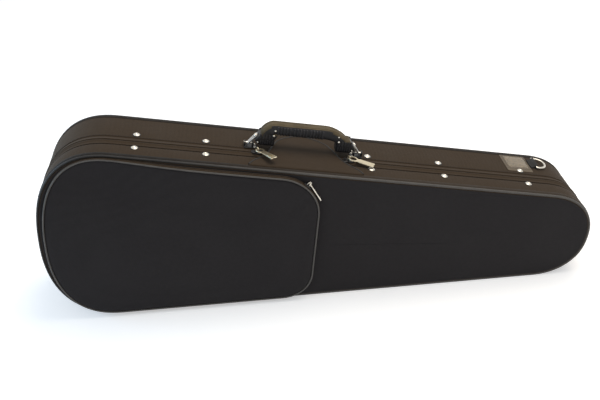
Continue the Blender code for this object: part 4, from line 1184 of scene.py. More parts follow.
def end_block(side, place):
    """A moulded block, and the collar round the grip's end, its top drawn with a painted sheen."""
    low, split, top = block_heights()
    half = BLOCK_HALF
    shape = block_levels(((low, half - 0.0024, 0.0012), (low + 0.0005, half - 0.0016, 0.0004),
                          (low + 0.0020, half - 0.0003, 0.0), (low + 0.0026, half, 0.0),
                          (handle_sizes().block_outer, half, 0.0), (split + 0.0004, half, 0.0),
                          (split + 0.0008, half - 0.0008, 0.0006)))
    finish(f"handle_block_{side}", shape, "moulding", place, smooth=35, body="handle",
           replaced=(f"handle_end_{side}",), slot="moulding")
    cap = block_levels(((split + 0.0004, half - 0.0006, 0.0004), (split + 0.0007, half + 0.0006, 0.0),
                        (top - 0.0030, half + 0.0009, 0.0), (top - 0.0012, half + 0.0006, 0.0),
                        (top - 0.0003, half - 0.0006, 0.0006), (top, half - 0.0022, 0.0020)))
    cap.faces.ensure_lookup_table()
    foot_faces = 32
    # Collar faces above this height wear the painted sheen.
    sheen_from = split + 0.002
    for index, face in enumerate(cap.faces):
        face.material_index = int(index >= foot_faces and face.calc_center_median().z > sheen_from)
    finish(f"handle_cap_{side}", cap, ("moulding", "rubbed"), place, smooth=35, body="handle", slot="moulding")


def block_ribs(side, place):
    """Upright ribs on both faces of an end block and of its collar."""
    low, split, top = block_heights()
    ribs = bmesh.new()
    for face_side in (-1, 1):
        for bottom, roof, out, count in ((low + 0.0028, split, BLOCK_HALF, 6),
                                         (split + 0.0012, top - 0.0016, BLOCK_HALF + 0.0007, 5)):
            begin = block_begin(bottom) + 0.0024
            step = (handle_sizes().block_end - 0.0016 - begin) / count
            root = face_side * (out - 0.0006)
            for number in range(count):
                s = begin + step * (number + 0.5)
                bridged([[Vector((s + step * wide, root if abs(wide) > 0.25 else face_side * (out + proud), up))
                          for wide in (-0.30, -0.21, 0.21, 0.30)]
                         for up, proud in ((bottom, -0.0003), (bottom + 0.0006, 0.0007), (roof - 0.0006, 0.0007),
                                           (roof, -0.0003))], ribs)
    # The ribs wear lighter moulding as painted highlights.
    finish(f"handle_block_ribs_{side}", ribs, "ribs", place, smooth=30, body="handle", slot="moulding")


def block_pins(side, place):
    """Bright pins that show on both sides of the collar, of the block and of the grip's end."""
    h = handle_sizes()
    low, top = block_heights()[::2]
    pins = bmesh.new()
    for s, up, radius, out in ((h.block_end - 0.0022, top - 0.0032, 0.0017, BLOCK_HALF + 0.0009),
                               (block_begin(low + 0.004) + 0.0014, low + 0.0052, 0.0012, BLOCK_HALF),
                               (h.block_end - 0.0010, top + 0.0042, 0.0015, h.width / 2 + 0.0002)):
        for face_side in (-1, 1):
            facing = Matrix.Rotation(-face_side * math.pi / 2, 4, "X")
            turned([(radius, -0.0004), (radius, 0.0004), (radius * 0.75, 0.0009), (radius * 0.1, 0.0011)], 14,
                   Matrix.Translation((s, face_side * out, up)) @ facing, pins)
    finish(f"handle_block_pins_{side}", pins, "nickel", place, smooth=50, body="handle", slot="nickel")


def handle_strap(side, place):
    """A steel strap from an end block to its foot, and the rivet at its top."""
    h = handle_sizes()
    slanted = place @ Matrix.Rotation(-h.slant, 4, "Y")
    steps = fine(12)
    points = circle(0.0038, steps, math.pi / 2, math.pi, 1)
    points += [(h.strap + a, b) for a, b in circle(0.0045, steps, -math.pi / 2, math.pi, 1)]
    layers = ((0.0003, -0.0009), (0.0, -0.0006), (0.0, 0.0006), (0.0003, 0.0009), (0.0010, 0.0009),
              (0.0013, 0.00065))
    shape = bridged([flat(shrunk(points, draw), z) for draw, z in layers])
    finish(f"handle_strap_{side}", shape, "steel", slanted, smooth=40, body="handle",
           replaced=(f"handle_bail_{side}",), slot="steel")
    head = turned([(0.0028, 0.0), (0.0028, 0.0005), (0.0023, 0.0012), (0.0012, 0.0016), (0.0001, 0.0017)],
                  fine(20), Matrix.Translation((h.strap, 0, 0.0006)))
    finish(f"handle_strap_rivet_{side}", head, "nickel", slanted, smooth=50, body="handle",
           replaced=(f"handle_rivet_{side}",), slot="nickel")


def handle_foot(side, place):
    """A foot with two ears, and the pin through them with the two rivets that hold the foot."""
    under = -0.0055 + GAP
    inner = 0.0078
    outer = -0.0052
    end = inner + 0.004
    plate = rounded(((outer, -0.008), (end, -0.0065), (end, 0.0065), (outer, 0.008)), 0.0025, 4)
    foot = bridged([flat(ring, z) for ring, z in ((plate, under), (plate, under + 0.0007),
                                                  (shrunk(plate, 0.0003), under + 0.001))])
    ear_half = 0.0034
    ear = [(-ear_half, under + 0.0005)]
    ear += [(-a, b * 0.85) for a, b in circle(ear_half, 10, 0.0, math.pi, 1)]
    ear += [(ear_half, under + 0.0005)]
    for start in (0.006, outer):
        bridged([[Vector((s, y, up)) for y, up in ear] for s in (start, start + 0.0018)], foot)
    softened(finish(f"handle_foot_plate_{side}", foot, "blackened", place, smooth=35, body="base",
                    replaced=(f"handle_foot_{side}",), slot="steel"), 0.0002)
    pins = turned([(0.0001, outer - 0.0008), (0.0012, outer - 0.0007), (0.0019, outer - 0.0002),
                   (0.0019, outer + 0.0001), (0.0014, outer + 0.0001), (0.0014, inner), (0.0019, inner),
                   (0.0018, inner + 0.0004), (0.0001, inner + 0.0007)], 16, Matrix.Rotation(math.pi / 2, 4, "Y"))
    for y in (-0.0032, 0.0032):
        turned([(0.0016, 0.0), (0.0016, 0.0003), (0.0011, 0.0008), (0.0001, 0.0010)], 14,
               Matrix.Translation((inner + 0.0018, y * 1.3, under + 0.0009)), pins)
    finish(f"handle_pin_set_{side}", pins, "nickel", place, smooth=50, body="base",
           replaced=(f"handle_pin_{side}",), slot="nickel")


# Name tag and strap rings

def name_tag():
    """A bound vinyl pocket on the top side, with a clear pane over a blank card."""
    low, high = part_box("name_tag_frame")
    seat = middle_of("name_tag_frame")
    length = (high[0] - low[0]) / math.cos(2 * taper()) / 2
    depth = (high[1] - low[1]) / 2
    place = on_top(seat.x, seat.y)
    border = 0.0036

    def loop(inset, radius):
        spare = max(1 - inset / border, 0)
        left = inset - length - 0.0015 * spare
        front = inset - depth - 0.0078 * spare
        right = length - inset
        back = depth - inset
        return rounded(((left, front), (right, front), (right, back), (left, back)), radius)

    layers = ((0.0, 0.0026, 0.0003), (0.0, 0.0026, 0.0007), (0.0006, 0.0022, 0.0010),
              (border * 0.5, 0.0018, 0.0013), (border - 0.0006, 0.0012, 0.0017), (border, 0.0010, 0.0012),
              (border, 0.0010, 0.0003))
    bound = bridged([flat(loop(inset, radius), z) for inset, radius, z in layers], loop=True)
    finish("name_tag_binding", bound, "tag", place, smooth=50, body="base", replaced=("name_tag_frame",),
           slot="binding")
    pane = bridged([flat(loop(border + inset, 0.0012), z)
                    for inset, z in ((-0.0003, 0.0008), (-0.0003, 0.0012), (0.003, 0.00145), (0.008, 0.0016),
                                     (0.011, 0.0016))])
    finish("name_tag_pane", pane, "window", place, smooth=60, body="base", replaced=("name_tag_window",),
           slot="window")
    slip = bridged([flat(loop(border - 0.0009, 0.0008), z) for z in (0.0003, 0.0006)])
    finish("name_tag_card", slip, "card", place, smooth=30, body="base", slot="window")
    line = flat(loop(border * 0.5, 0.0016), 0.0013)
    finish("name_tag_stitches", thread_run(line + line[:1], 0.003), "thread", place, smooth=70, body="base",
           slot="binding")


def thread_run(points, pitch, thick=0.0002):
    """Short stitches along a line, sunk at their ends."""
    shape = bmesh.new()
    stations = [(s * pitch, h * thick, wide * thick, wide * thick)
                for s, h, wide in ((-0.36, -0.5, 0.4), (-0.2, 0.6, 1.0), (0.2, 0.6, 1.0), (0.36, -0.5, 0.4))]
    walked = 0.0
    for a, b in zip(points, points[1:]):
        way = (b - a).normalized()
        side = way.cross(Vector((0, 0, 1))).normalized()
        while walked <= (b - a).length:
            stitch(shape, a + way * walked, way, side, side.cross(way), stations)
            walked += pitch
        walked -= (b - a).length
    return shape


def strap_ring(side):
    """A wire D-ring and the tab that holds it."""
    name = f"strap_ring_{side}"
    out = Vector((0, 0, 1)) if side == "upper" else Vector((-1, 0, 0))
    pin = pull_frame(f"ring_{side}_hinge", name, out)
    half = 0.0135
    reach = 0.016
    wire = 0.0016
    steps = fine(30)
    turns = [math.pi * (step / steps - 0.5) for step in range(steps + 1)]
    points = [Vector((reach * signed_power(math.cos(turn), 0.8), half * signed_power(math.sin(turn), 0.9), 0))
              for turn in turns]
    bar_steps = 6
    points += [Vector((0, half * (1 - 2 * k / bar_steps), 0)) for k in range(1, bar_steps)]
    shape = sweep(points, circle(wire, fine(12)), closed=True, up=Vector((0, 0, 1)))
    finish(f"strap_ring_wire_{side}", shape, "nickel", pin, smooth=60, body=f"ring_{side}", replaced=(name,),
           slot="nickel")
    strap_tab(side, pin, wire)


def strap_tab(side, pin, wire):
    """The folded webbing that holds a ring, box-stitched to the wall."""
    wide = 0.011
    outer = wire + 0.0015
    wall = -(0.0018 + wire)
    middle_z = wall + 0.0012
    profile = [(-0.0085, wall + 0.0002), (0.0, wall + 0.0003)]
    profile += [(-b, a) for a, b in circle(-outer, 10, 0.0, math.pi, 1)]
    profile += [(-0.0022, outer * 0.55), (-0.0046, wall + 0.0026), (-0.0085, wall + 0.0023)]
    tab = bridged([[Vector((a, y, middle_z + (z - middle_z) * draw)) for a, z in profile]
                   for y, draw in ((-wide, 0.92), (-wide + 0.0004, 1.0), (wide - 0.0004, 1.0), (wide, 0.92))])
    finish(f"strap_tab_web_{side}", tab, "webbing", pin, smooth=45, body="base", replaced=(f"strap_tab_{side}",),
           slot="binding")
    half = wide * 0.8
    far = -0.0078
    near = -0.0055
    box = flat(((far, -half), (far, half), (near, half), (near, -half), (far, -half)), wall + 0.0025)
    finish(f"strap_tab_stitches_{side}", thread_run(box, 0.0022), "thread", pin, smooth=70, body="base",
           slot="binding")


# Music pocket on the lid

class PocketSizes(bpy.types.PropertyGroup):
    """The pocket on the lid's face."""

    thickness: size("Thickness", "How far the pocket stands off the lid", 0.01)
    inset: size("Inset", "From the case's edge along the top and bottom", 0.006)
    end_inset: size("End Inset", "From the case's edge round the wide end", 0.01)
    edge_x: FloatProperty(name="Edge Place", description="Along the case, of the free edge", default=-0.0085,
                          unit="LENGTH", precision=4)
    edge_height: size("Edge Height", "Height at which the edge place is measured", 0.135)
    edge_tilt: angle("Edge Tilt", "Lean of the free edge", math.radians(6.5))
    top_corner: size("Top Corner", "Radius of the upper corner", 0.06)
    low_corner: size("Low Corner", "Radius of the lower corner", 0.045)
    welt: size("Welt", "Radius of the piping", 0.0012)
    crown: size("Crown", "How far the panel swells at its middle", 0.0022)
    crease: size("Crease", "Depth of the crease near the upper corner", 0.0016)


def pocket_sizes():
    return bpy.context.scene.violin_case_pocket


def rounded_corner(corner, before, after, radius, steps):
    middle = (before + after).normalized()
    half = before.angle(after) / 2
    centre = corner + middle * radius / math.sin(half)
    start = corner + before * radius / math.tan(half) - centre
    end = corner + after * radius / math.tan(half) - centre
    whole = start.angle(end)
    arc = []
    for step in range(steps + 1):
        turn = whole * step / steps
        arc.append(centre + (start * math.sin(whole - turn) + end * math.sin(turn)) / math.sin(whole))
    return arc


def pocket_outline():
    """Round the wide end with the case, then down the free edge between two round corners."""
    p = pocket_sizes()
    lean = 2 * taper()
    up = Vector((math.sin(p.edge_tilt), math.cos(p.edge_tilt)))
    down_slope = Vector((math.cos(lean), -math.sin(lean)))
    middle = Vector((p.edge_x, p.edge_height))
    low = middle - up * (middle.y - p.inset) / up.y
    drop = top_height(middle.x) - p.inset / math.cos(lean) - middle.y
    top = middle + up * drop / (up.y + up.x * math.tan(lean))
    upper = rounded_corner(top, -down_slope, -up, p.top_corner, fine(16))
    lower = rounded_corner(low, up, Vector((-1, 0)), p.low_corner, fine(14))
    wide_end = grown(outline(), -p.inset)[:2 * fine(22) + 1]
    push = p.end_inset - p.inset
    height = wide_end[-1].y
    moved = [place + Vector((push, -push * math.tan(lean) * place.y / height)) for place in wide_end]
    return spaced(moved + upper + lower, 0.012)


def spaced(points, most):
    """Long straight runs of a closed outline cut so that no step is longer than most."""
    made = []
    for a, b in zip(points, points[1:] + points[:1]):
        count = max(1, math.ceil((b - a).length / most))
        made += [a.lerp(b, step / count) for step in range(count)]
    return made


def pocket_wave(point, share_in):
    """How far the panel stands out at a place: a soft crown, a slack wave and the crease at its corner."""
    p = pocket_sizes()
    scale = 8
    slack_height = 0.0009
    crease_half = 0.0045
    crease_reach = 0.016
    swell = p.crown * (1 - share_in ** 3)
    wave = mathutils.noise.noise(Vector((point.x * scale, 0.3, point.y * scale)))
    slack = slack_height * wave * (1 - share_in ** 6)
    place = point - Vector((-0.038, 0.165))
    line = Vector((0.55, 0.835))
    side = Vector((line.y, -line.x))
    across = place.dot(side) / crease_half
    reach = place.dot(line) / crease_reach
    crease = p.crease * math.exp(-across * across - reach * reach)
    ridge = p.crease * 0.8 * math.exp(-(across - 1.7) ** 2 - reach * reach)
    return swell + slack - crease + ridge


def drawn_in(shape):
    """Pulls the pocket's upper wide corner up and flat against the lid, as its own zip draws it."""
    front = front_y()
    corner_x = -0.300
    corner_z = 0.245
    reach_x = 0.085
    reach_z = 0.060
    most_up = 0.0036
    most_along = 0.0015
    for vert in shape.verts:
        dx = (vert.co.x - corner_x) / reach_x
        dz = (vert.co.z - corner_z) / reach_z
        pulled = math.exp(-dx * dx - dz * dz)
        vert.co.z += most_up * pulled
        vert.co.x -= most_along * pulled
        if vert.co.y < front:
            vert.co.y += (front - vert.co.y) * 0.5 * pulled
    return shape


def pocket_panel():
    """The pocket's front: padded cloth that swells between its seams, with its lining behind."""
    p = pocket_sizes()
    path = grown(pocket_outline(), -2 * p.welt - 2 * GAP)
    face = front_y() - p.thickness
    centre = sum(path, Vector((0, 0))) / len(path)

    def drawn(part):
        return [centre + (r - centre) * part for r in path]

    rings = [upright(drawn(part), face + 0.0025) for part in (0.3, 0.7, 0.995)]
    rings += [upright(grown(path, out), face + drop)
              for out, drop in ((0.0002, 0.0017), (-0.0005, 0.0010), (-0.0016, 0.0004), (-0.0034, 0.0001))]
    for part in (0.94, 0.9, 0.86, 0.82, 0.78, 0.74, 0.7, 0.66, 0.62, 0.58, 0.5, 0.42, 0.34, 0.26, 0.18, 0.1):
        rings.append([Vector((q.x, face - pocket_wave(q, part), q.y)) for q in drawn(part)])
    shape = bridged(rings, look_of=lambda index: int(index < 3))
    made = finish("pocket_front", drawn_in(shape), ("face", "tape"), smooth=60, body="pocket",
                  replaced=("pocket_panel",), slot="nylon")
    cord = sweep(upright(grown(pocket_outline(), -p.welt), face + p.welt), circle(p.welt, fine(10)),
                 closed=True)
    # The welt wears the highlit piping: a painted highlight.
    finish("pocket_welt", drawn_in(cord), "pocket_binding", smooth=60, body="pocket", replaced=("pocket_piping",),
           slot="binding")


def pocket_gusset():
    """Two strips round the pocket that meet at its zip: one stays on the lid, one goes with the panel."""
    run = outward(pocket_outline())
    near = front_y() - GAP
    far = front_y() - pocket_sizes().thickness + 0.0025 + GAP
    middle = (near + far) / 2
    roll = 0.0004
    strips = (("pocket_gusset_lid", "lid", near, middle + 0.0007, ("pocket_gusset",)),
              ("pocket_gusset_front", "pocket", far, middle - 0.0007, ()))
    for name, body, start, end, replaced in strips:
        section = ((start, -0.0013), (start, -0.0002), ((start + end) / 2, roll * 0.5),
                   (end + (start - end) * 0.15, roll), (end, -0.0001), (end, -0.0009))
        shape = bridged([upright([q + out * h for q, out in run], y) for y, h in section], loop=True)
        finish(name, drawn_in(shape), "nylon", smooth=50, body=body, replaced=replaced, slot="nylon")
    stations = ((0.0013, 0.7, 0.0003), (0.0003, 1.0, 0.0005), (0.0, 0.6, 0.0003))
    for name, body, inward in (("pocket_coil_lid", "lid", 1), ("pocket_coil_front", "pocket", -1)):
        shape = coil_teeth(split_run(run, 0.024)[0], 0.0012 * fine(1), inward, middle, -0.0004, stations)
        finish(name, drawn_in(shape), "coil", smooth=60, body=body, slot="coil")


def pocket_slider():
    """The pocket's slider and the long pull that hangs from it."""
    centre = joint_place("pocket_slider_travel")
    pull_place = joint_place("pocket_pull_hinge")
    out = pull_place - centre
    out.y = 0
    out.normalize()
    y = Vector((0, 1, 0))
    seat = Vector((centre.x, pull_place.y, centre.z)) + out * pocket_sizes().top_corner
    place = framed(y.cross(out), y, out, seat)
    shares = ((-1.0, 0.55), (-0.3, 0.78), (0.4, 1.0), (0.9, 0.95), (1.0, 0.7))
    top = 0.0022
    crown = ((0.0, GAP + 0.0002), (0.0, 0.0017), (0.12, 0.0021), (0.3, top))
    plate = slider_plate(0.0063, 0.0030, shares, 0.0009, crown)
    finish("pocket_slider_body", plate, "blackened", place, smooth=45, body="pocket_slider",
           replaced=("pocket_slider",), slot="nickel")
    above = (pull_place - seat).dot(out)
    pull_arch("pocket_slider_arch", framed(y.cross(out), y, out, pull_place), top - above, "nickel",
              "pocket_slider", 0.0018)
    zip_pull("pocket_pull", pull_frame("pocket_pull_hinge", "pocket_pull", out), 0.0315, 0.0026, "pocket_pull",
             "nickel")


# Interior

class InteriorSizes(bpy.types.PropertyGroup):
    """The plush bed, the compartment and the bow holders."""

    bed_inset: size("Bed Inset", "From the case's edge to the bed", 0.0092)
    lining_inset: size("Lining Inset", "From the case's edge to the linings", 0.013)
    edge_round: size("Edge Roundness", "Radius of the bed's padded edges", 0.004)
    well_start: size("Well Start", "From the wide end to the well", 0.03)
    well_length: size("Well Length", "Length of the well for the body", 0.36)
    well_half: size("Well Half Width", "Half the well's greatest width", 0.1055)
    well_floor: size("Well Floor", "Padding under the well", 0.0129)
    neck_width: size("Neck Width", "Width of the channel for the neck", 0.062)
    neck_floor: size("Neck Floor", "Padding under the channel", 0.0169)
    notch: size("Cradle Notch", "Radius of the notch that takes the neck", 0.019)
    strap_seat: size("Strap Seat", "How far the strap reaches beyond the channel", 0.02)


def interior():
    return bpy.context.scene.violin_case_interior


def bed():
    """The padded plush bed, with a well for the body and a channel for the neck."""
    i = interior()
    low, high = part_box("body_bed")
    solid = walled(between(grown(outline(), -i.bed_inset), -case().length, high[0]), low[1], high[1])
    shares = ((0.0, 0.0), (0.012, 0.3), (0.05, 0.66), (0.13, 0.93), (0.23, 1.0), (0.33, 0.92), (0.42, 0.7),
              (0.5, 0.58), (0.58, 0.6), (0.67, 0.74), (0.76, 0.81), (0.86, 0.75), (0.94, 0.52), (0.988, 0.24),
              (1.0, 0.0))
    half = curved([(i.well_start + u * i.well_length, v * i.well_half) for u, v in shares], fine(4))
    ring = [at(u, v) for u, v in half] + [at(u, -v) for u, v in half[-2:0:-1]]
    below = low[1] - 0.004
    well = walled(ring, below, high[1] - i.well_floor)
    side = i.neck_width / 2
    start = i.well_start + i.well_length * 0.97
    end = station_of(high[0]) + side * math.tan(taper()) + 0.004
    channel = walled([at(start, -side), at(end, -side), at(end, side), at(start, side)], below,
                     high[1] - i.neck_floor)
    made = carved("plush_bed", solid, (well, channel), "plush", i.edge_round, body="base", replaced=("body_bed",))


def curved(points, steps):
    """A smooth line through points."""
    made = []
    for index in range(len(points) - 1):
        four = [Vector(points[min(max(0, index + step), len(points) - 1)]) for step in range(-1, 3)]
        for step in range(steps):
            t = step / steps
            place = 0.5 * (2 * four[1] + (four[2] - four[0]) * t
                           + (2 * four[0] - 5 * four[1] + 4 * four[2] - four[3]) * t * t
                           + (3 * four[1] - four[0] - 3 * four[2] + four[3]) * t ** 3)
            made.append((place.x, place.y))
    return made + [tuple(points[-1])]


def lining(name, node_name, body):
    """A plush sheet glued to the shell, its edge rolled in."""
    low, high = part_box(node_name)
    path = grown(outline(), -interior().lining_inset)
    thick = high[1] - low[1]
    shape = bridged([upright(grown(path, -inset - 0.0001), low[1] + thick * part)
                     for inset, part in ((0.0016, 0.0), (0.0, 0.35), (0.0, 0.65), (0.0016, 1.0))])
    made = finish(name, shape, "plush", smooth=60, body=body, replaced=(node_name,), slot="plush")


def neck_cradle():
    """The notched cradle under the neck."""
    i = interior()
    low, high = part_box("neck_cradle")
    half = 0.015
    side = i.neck_width / 2 - GAP
    solid = block((-half, low[1], -side), (half, high[1], side))
    arc = [(low[1] + b, a) for a, b in circle(i.notch, fine(40))]
    notch = bridged([[Vector((reach, y, z)) for y, z in arc] for reach in (-half - 0.003, half + 0.003)])
    place = axis_frame(station_of(middle_of("neck_cradle").x))
    made = carved("neck_cradle_plush", solid, (notch,), "plush", 0.0024, place, "base", ("neck_cradle",))


def neck_strap():
    """The stitched strap that lies over the neck."""
    low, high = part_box("neck_strap")
    across = interior().neck_width / 2 + interior().strap_seat
    place = axis_frame(station_of((low[0] + high[0]) / 2))
    near = low[1] + 0.0002
    far = high[1] - 0.0001
    middle = (near + far) / 2
    steps = fine(24)
    rings = []
    for step in range(steps + 1):
        z = across * (2 * step / steps - 1)
        wide = 0.0125 * (1 - 0.2 * max(0.0, (abs(z) / across - 0.9) / 0.1) ** 2)
        rings.append(flat(((-wide, middle), (-wide * 0.97, near), (0, near), (wide * 0.97, near), (wide, middle),
                           (wide * 0.97, far), (0, far), (-wide * 0.97, far)), z))
    made = finish("neck_strap_web", bridged(rings), "webbing", place, smooth=50, body="neck_strap",
                  replaced=("neck_strap",), slot="binding")
    sewn = bmesh.new()
    for sign in (-1, 1):
        ends = [Vector((a, near, sign * across * u * 0.97))
                for a, u in ((-0.0095, 0.98), (0.0095, 0.98), (0.0095, 0.72), (-0.0095, 0.72), (-0.0095, 0.98))]
        for start, end in zip(ends, ends[1:]):
            flat_run(sewn, start, end)
    finish("neck_strap_stitches", sewn, "thread", place, smooth=70, body="neck_strap", slot="binding")


def flat_run(shape, start, end, pitch=0.0028, thick=0.00025):
    """Stitches along a line on a face that looks towards -Y."""
    way = (end - start).normalized()
    stations = [(s * pitch, 0, wide * thick, wide * thick)
                for s, wide in ((-0.36, 0.4), (-0.2, 1.0), (0.2, 1.0), (0.36, 0.4))]
    for index in range(int((end - start).length / pitch)):
        stitch(shape, start + way * (index + 0.5) * pitch, way, way.cross(Vector((0, 1, 0))), Vector((0, -1, 0)),
               stations)


def compartment():
    """The wall beside the bed, and the hinged lid with its ribbon."""
    low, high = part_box("compartment_wall")
    wall = walled(between(grown(outline(), -interior().bed_inset), low[0], high[0]), low[1], high[1])
    carved("compartment_board", wall, (), "plush", 0.0018, body="base", replaced=("compartment_wall",))
    low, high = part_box("compartment_lid")
    top = joint_place("compartment_lid_hinge").y
    inset = 0.0096
    lid = walled(between(grown(outline(), -inset), low[0] + 0.0002, case().length), top, high[1])
    made = carved("compartment_hatch", lid, (), "plush", 0.0009, body="compartment_lid",
                  replaced=("compartment_lid",), segments=2)
    place = axis_frame(case().length - inset - 0.006 - 0.016) @ Matrix.Translation((0, top, 0))
    section = ((0.0, -0.0002), (0.012, -0.0004), (0.0158, -0.0008), (0.016, -0.0014), (0.0158, -0.0019),
               (0.0146, -0.0023), (0.0, -0.0020), (0.0, -0.0014), (0.0145, -0.0016), (0.0151, -0.0013),
               (0.0145, -0.0010), (0.0, -0.0008))
    ribbon = bridged([flat(section, z) for z in (-0.006, 0.0, 0.006)])
    made = finish("compartment_ribbon", ribbon, "webbing", place, smooth=60, body="compartment_lid",
                  slot="binding")


def bow_clip(side, sign):
    """A moulded seat, and the clip that turns in it to hold a bow."""
    low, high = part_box(f"bow_clip_base_{side}")
    seat = low[1]
    top = high[1]
    place = axis_frame(0.11, sign * 0.055)
    half = 0.011
    wide = 0.008
    points = rounded(((-half, -wide), (half, -wide), (half, wide), (-half, wide)), 0.006, 5)
    solid = bridged([upright([(a * (1 - inset / half), b * (1 - inset / wide)) for a, b in points], y)
                     for inset, y in ((0.0, seat), (0.0, seat + (top - seat) * 0.3), (0.0006, top - 0.0006),
                                      (0.0014, top))])
    bore = walled(circle(0.0039, fine(28)), seat + 0.0018, top + 0.002)
    carved(f"bow_seat_{side}", solid, (bore,), "moulding", 0.0003, place, "lid", (f"bow_clip_base_{side}",), 2,
           "moulding")
    near = top + GAP
    reach = 0.017
    waist = 0.0045
    wing = [(reach * signed_power(a, 0.75), signed_power(b, 0.75)) for a, b in circle(1.0, fine(40))]
    wing = [(a, waist * (0.8 + 0.2 * (a / reach) ** 2) * b) for a, b in wing]
    arm = bridged([upright([(a * (1 - inset / reach), b * (1 - inset / waist)) for a, b in wing], near + drop)
                   for inset, drop in ((0.0016, 0.0), (0.0002, 0.0008), (0.0, 0.0018), (0.0004, 0.003),
                                       (0.0018, 0.0038), (0.004, 0.004))])
    finish(f"bow_arm_{side}", arm, "moulding", place, smooth=60, body=f"bow_clip_{side}",
           replaced=(f"bow_clip_{side}",), slot="moulding")
    post = bridged([upright(circle(radius, 24), y)
                    for radius, y in ((0.0028, seat + 0.0024), (0.0033, seat + 0.0028), (0.0033, near + 0.0012))])
    finish(f"bow_post_{side}", post, "moulding", place, smooth=40, body=f"bow_clip_{side}", slot="moulding")


def bow_loop(side, sign):
    """The elastic loop for a bow's tip."""
    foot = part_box(f"bow_loop_{side}")[0][1] + 0.0002
    path = [(0.0112, 0.0), (0.0112, 0.0006)]
    path += [(a, 0.0012 + b * 0.0098 / 0.0104) for a, b in circle(0.0104, 20, 0.0, math.pi, 1)]
    path += [(-0.0112, 0.0006), (-0.0112, 0.0)]
    inner = [(a * 0.91, max(0.0, b - 0.0008) if abs(a) < 0.009 else b) for a, b in reversed(path)]
    band = bridged([[Vector((x, foot + b, a)) for a, b in path + inner]
                    for x in (-0.005, -0.0046, 0.0046, 0.005)])
    place = axis_frame(0.86 * case().length, sign * 0.028)
    made = finish(f"bow_loop_band_{side}", band, "webbing", place, smooth=50, body="lid",
                  replaced=(f"bow_loop_{side}",), slot="binding")


# Stage

class StageSettings(bpy.types.PropertyGroup):
    """The floor, the lights and the view."""

    floor_level: share("Floor Brightness", "How pale the floor renders", 0.8)
    top_light: power("Top Light", "Power of the light above", 16.0)
    left_light: power("Left Light", "Power of the light on the left", 12.0)
    front_light: power("Front Light", "Power of the low light in front", 5.0)
    ambient: FloatProperty(name="Ambient", description="Strength of the light from all round", default=0.5, min=0)
    lens: FloatProperty(name="Lens", description="Focal length of the camera in millimetres", default=45.4, min=1)
    distance: size("Camera Distance", "From the camera to its target", 1.1085)
    azimuth: angle("Azimuth", "How far the view is turned", 0.073)
    elevation: angle("Elevation", "How far the view looks down", 0.5841)
    roll: angle("Roll", "Turn of the camera about its view", -0.04)


def stage_settings():
    return bpy.context.scene.violin_case_stage


def looked_at(made):
    """1 where the camera, metal or glass sees a surface, and 0 where its light falls on others."""
    path = node(made, "ShaderNodeLightPath")
    seen = worked(made, "ADD", path.outputs["Is Camera Ray"], path.outputs["Is Glossy Ray"], True)
    return worked(made, "ADD", seen, path.outputs["Is Transmission Ray"], True)


def seen_white(made, shade, strength):
    """Adds white light to what the camera, metal and glass see of a surface, and keeps its shadow."""
    level = worked(made, "MULTIPLY", looked_at(made), strength)
    glow = node(made, "ShaderNodeEmission", [("Strength", level)])
    return node(made, "ShaderNodeAddShader", [(0, shade), (1, glow.outputs[0])]).outputs[0]


def floor():
    level = CAD_BOX[0][2] - 0.0002
    reach = 6.0
    data = bpy.data.meshes.new("studio_floor")
    data.from_pydata([(-reach, -reach, level), (reach, -reach, level), (reach, reach, level),
                      (-reach, reach, level)], [], [(0, 1, 2, 3)])
    made = bpy.data.objects.new("studio_floor", data)
    bpy.context.scene.collection.objects.link(made)
    look, shader = plain("pale_floor", 0.9, specular_ior_level=0.0)
    shader.inputs["Base Color"].default_value = (*hues().floor, 1)
    shown = seen_white(look, shader.outputs[0], 1 - stage_settings().floor_level * 0.75)
    look.node_tree.links.new(shown, look.node_tree.nodes["Material Output"].inputs["Surface"])
    data.materials.append(look)


def surroundings():
    world = bpy.data.worlds.new("studio")
    world.use_nodes = True
    world.node_tree.nodes.clear()
    seen = looked_at(world)
    around = node(world, "ShaderNodeBackground", strength=stage_settings().ambient)
    around.inputs["Color"].default_value = (0.96, 0.98, 1.0, 1)
    white = node(world, "ShaderNodeBackground", strength=1.0)
    white.inputs["Color"].default_value = (1, 1, 1, 1)
    mix = node(world, "ShaderNodeMixShader", [(0, seen), (1, around.outputs[0]), (2, white.outputs[0])])
    node(world, "ShaderNodeOutputWorld", [("Surface", mix.outputs[0])])
    bpy.context.scene.world = world


def lamp(name, place, target, width, energy, colour):
    data = bpy.data.lights.new(name, "AREA")
    data.shape = "DISK"
    data.size = width
    data.energy = energy
    data.color = colour
    made = bpy.data.objects.new(name, data)
    way = Vector(target) - Vector(place)
    made.matrix_world = Matrix.Translation(place) @ way.to_track_quat("-Z", "Y").to_matrix().to_4x4()
    bpy.context.scene.collection.objects.link(made)


def lamps():
    s = stage_settings()
    lamp("light_above", (0.45, 0.2, 1.65), (0.05, 0, 0.15), 1.3, s.top_light, (1.0, 0.9, 0.78))
    lamp("light_left", (-1.7, 0.0, 0.55), (-0.2, 0, 0.1), 0.9, s.left_light, (0.38, 0.68, 1.0))
    lamp("light_front", (1.3, -1.6, 0.5), (0.1, 0, 0.1), 1.4, s.front_light, (1.0, 0.95, 0.92))


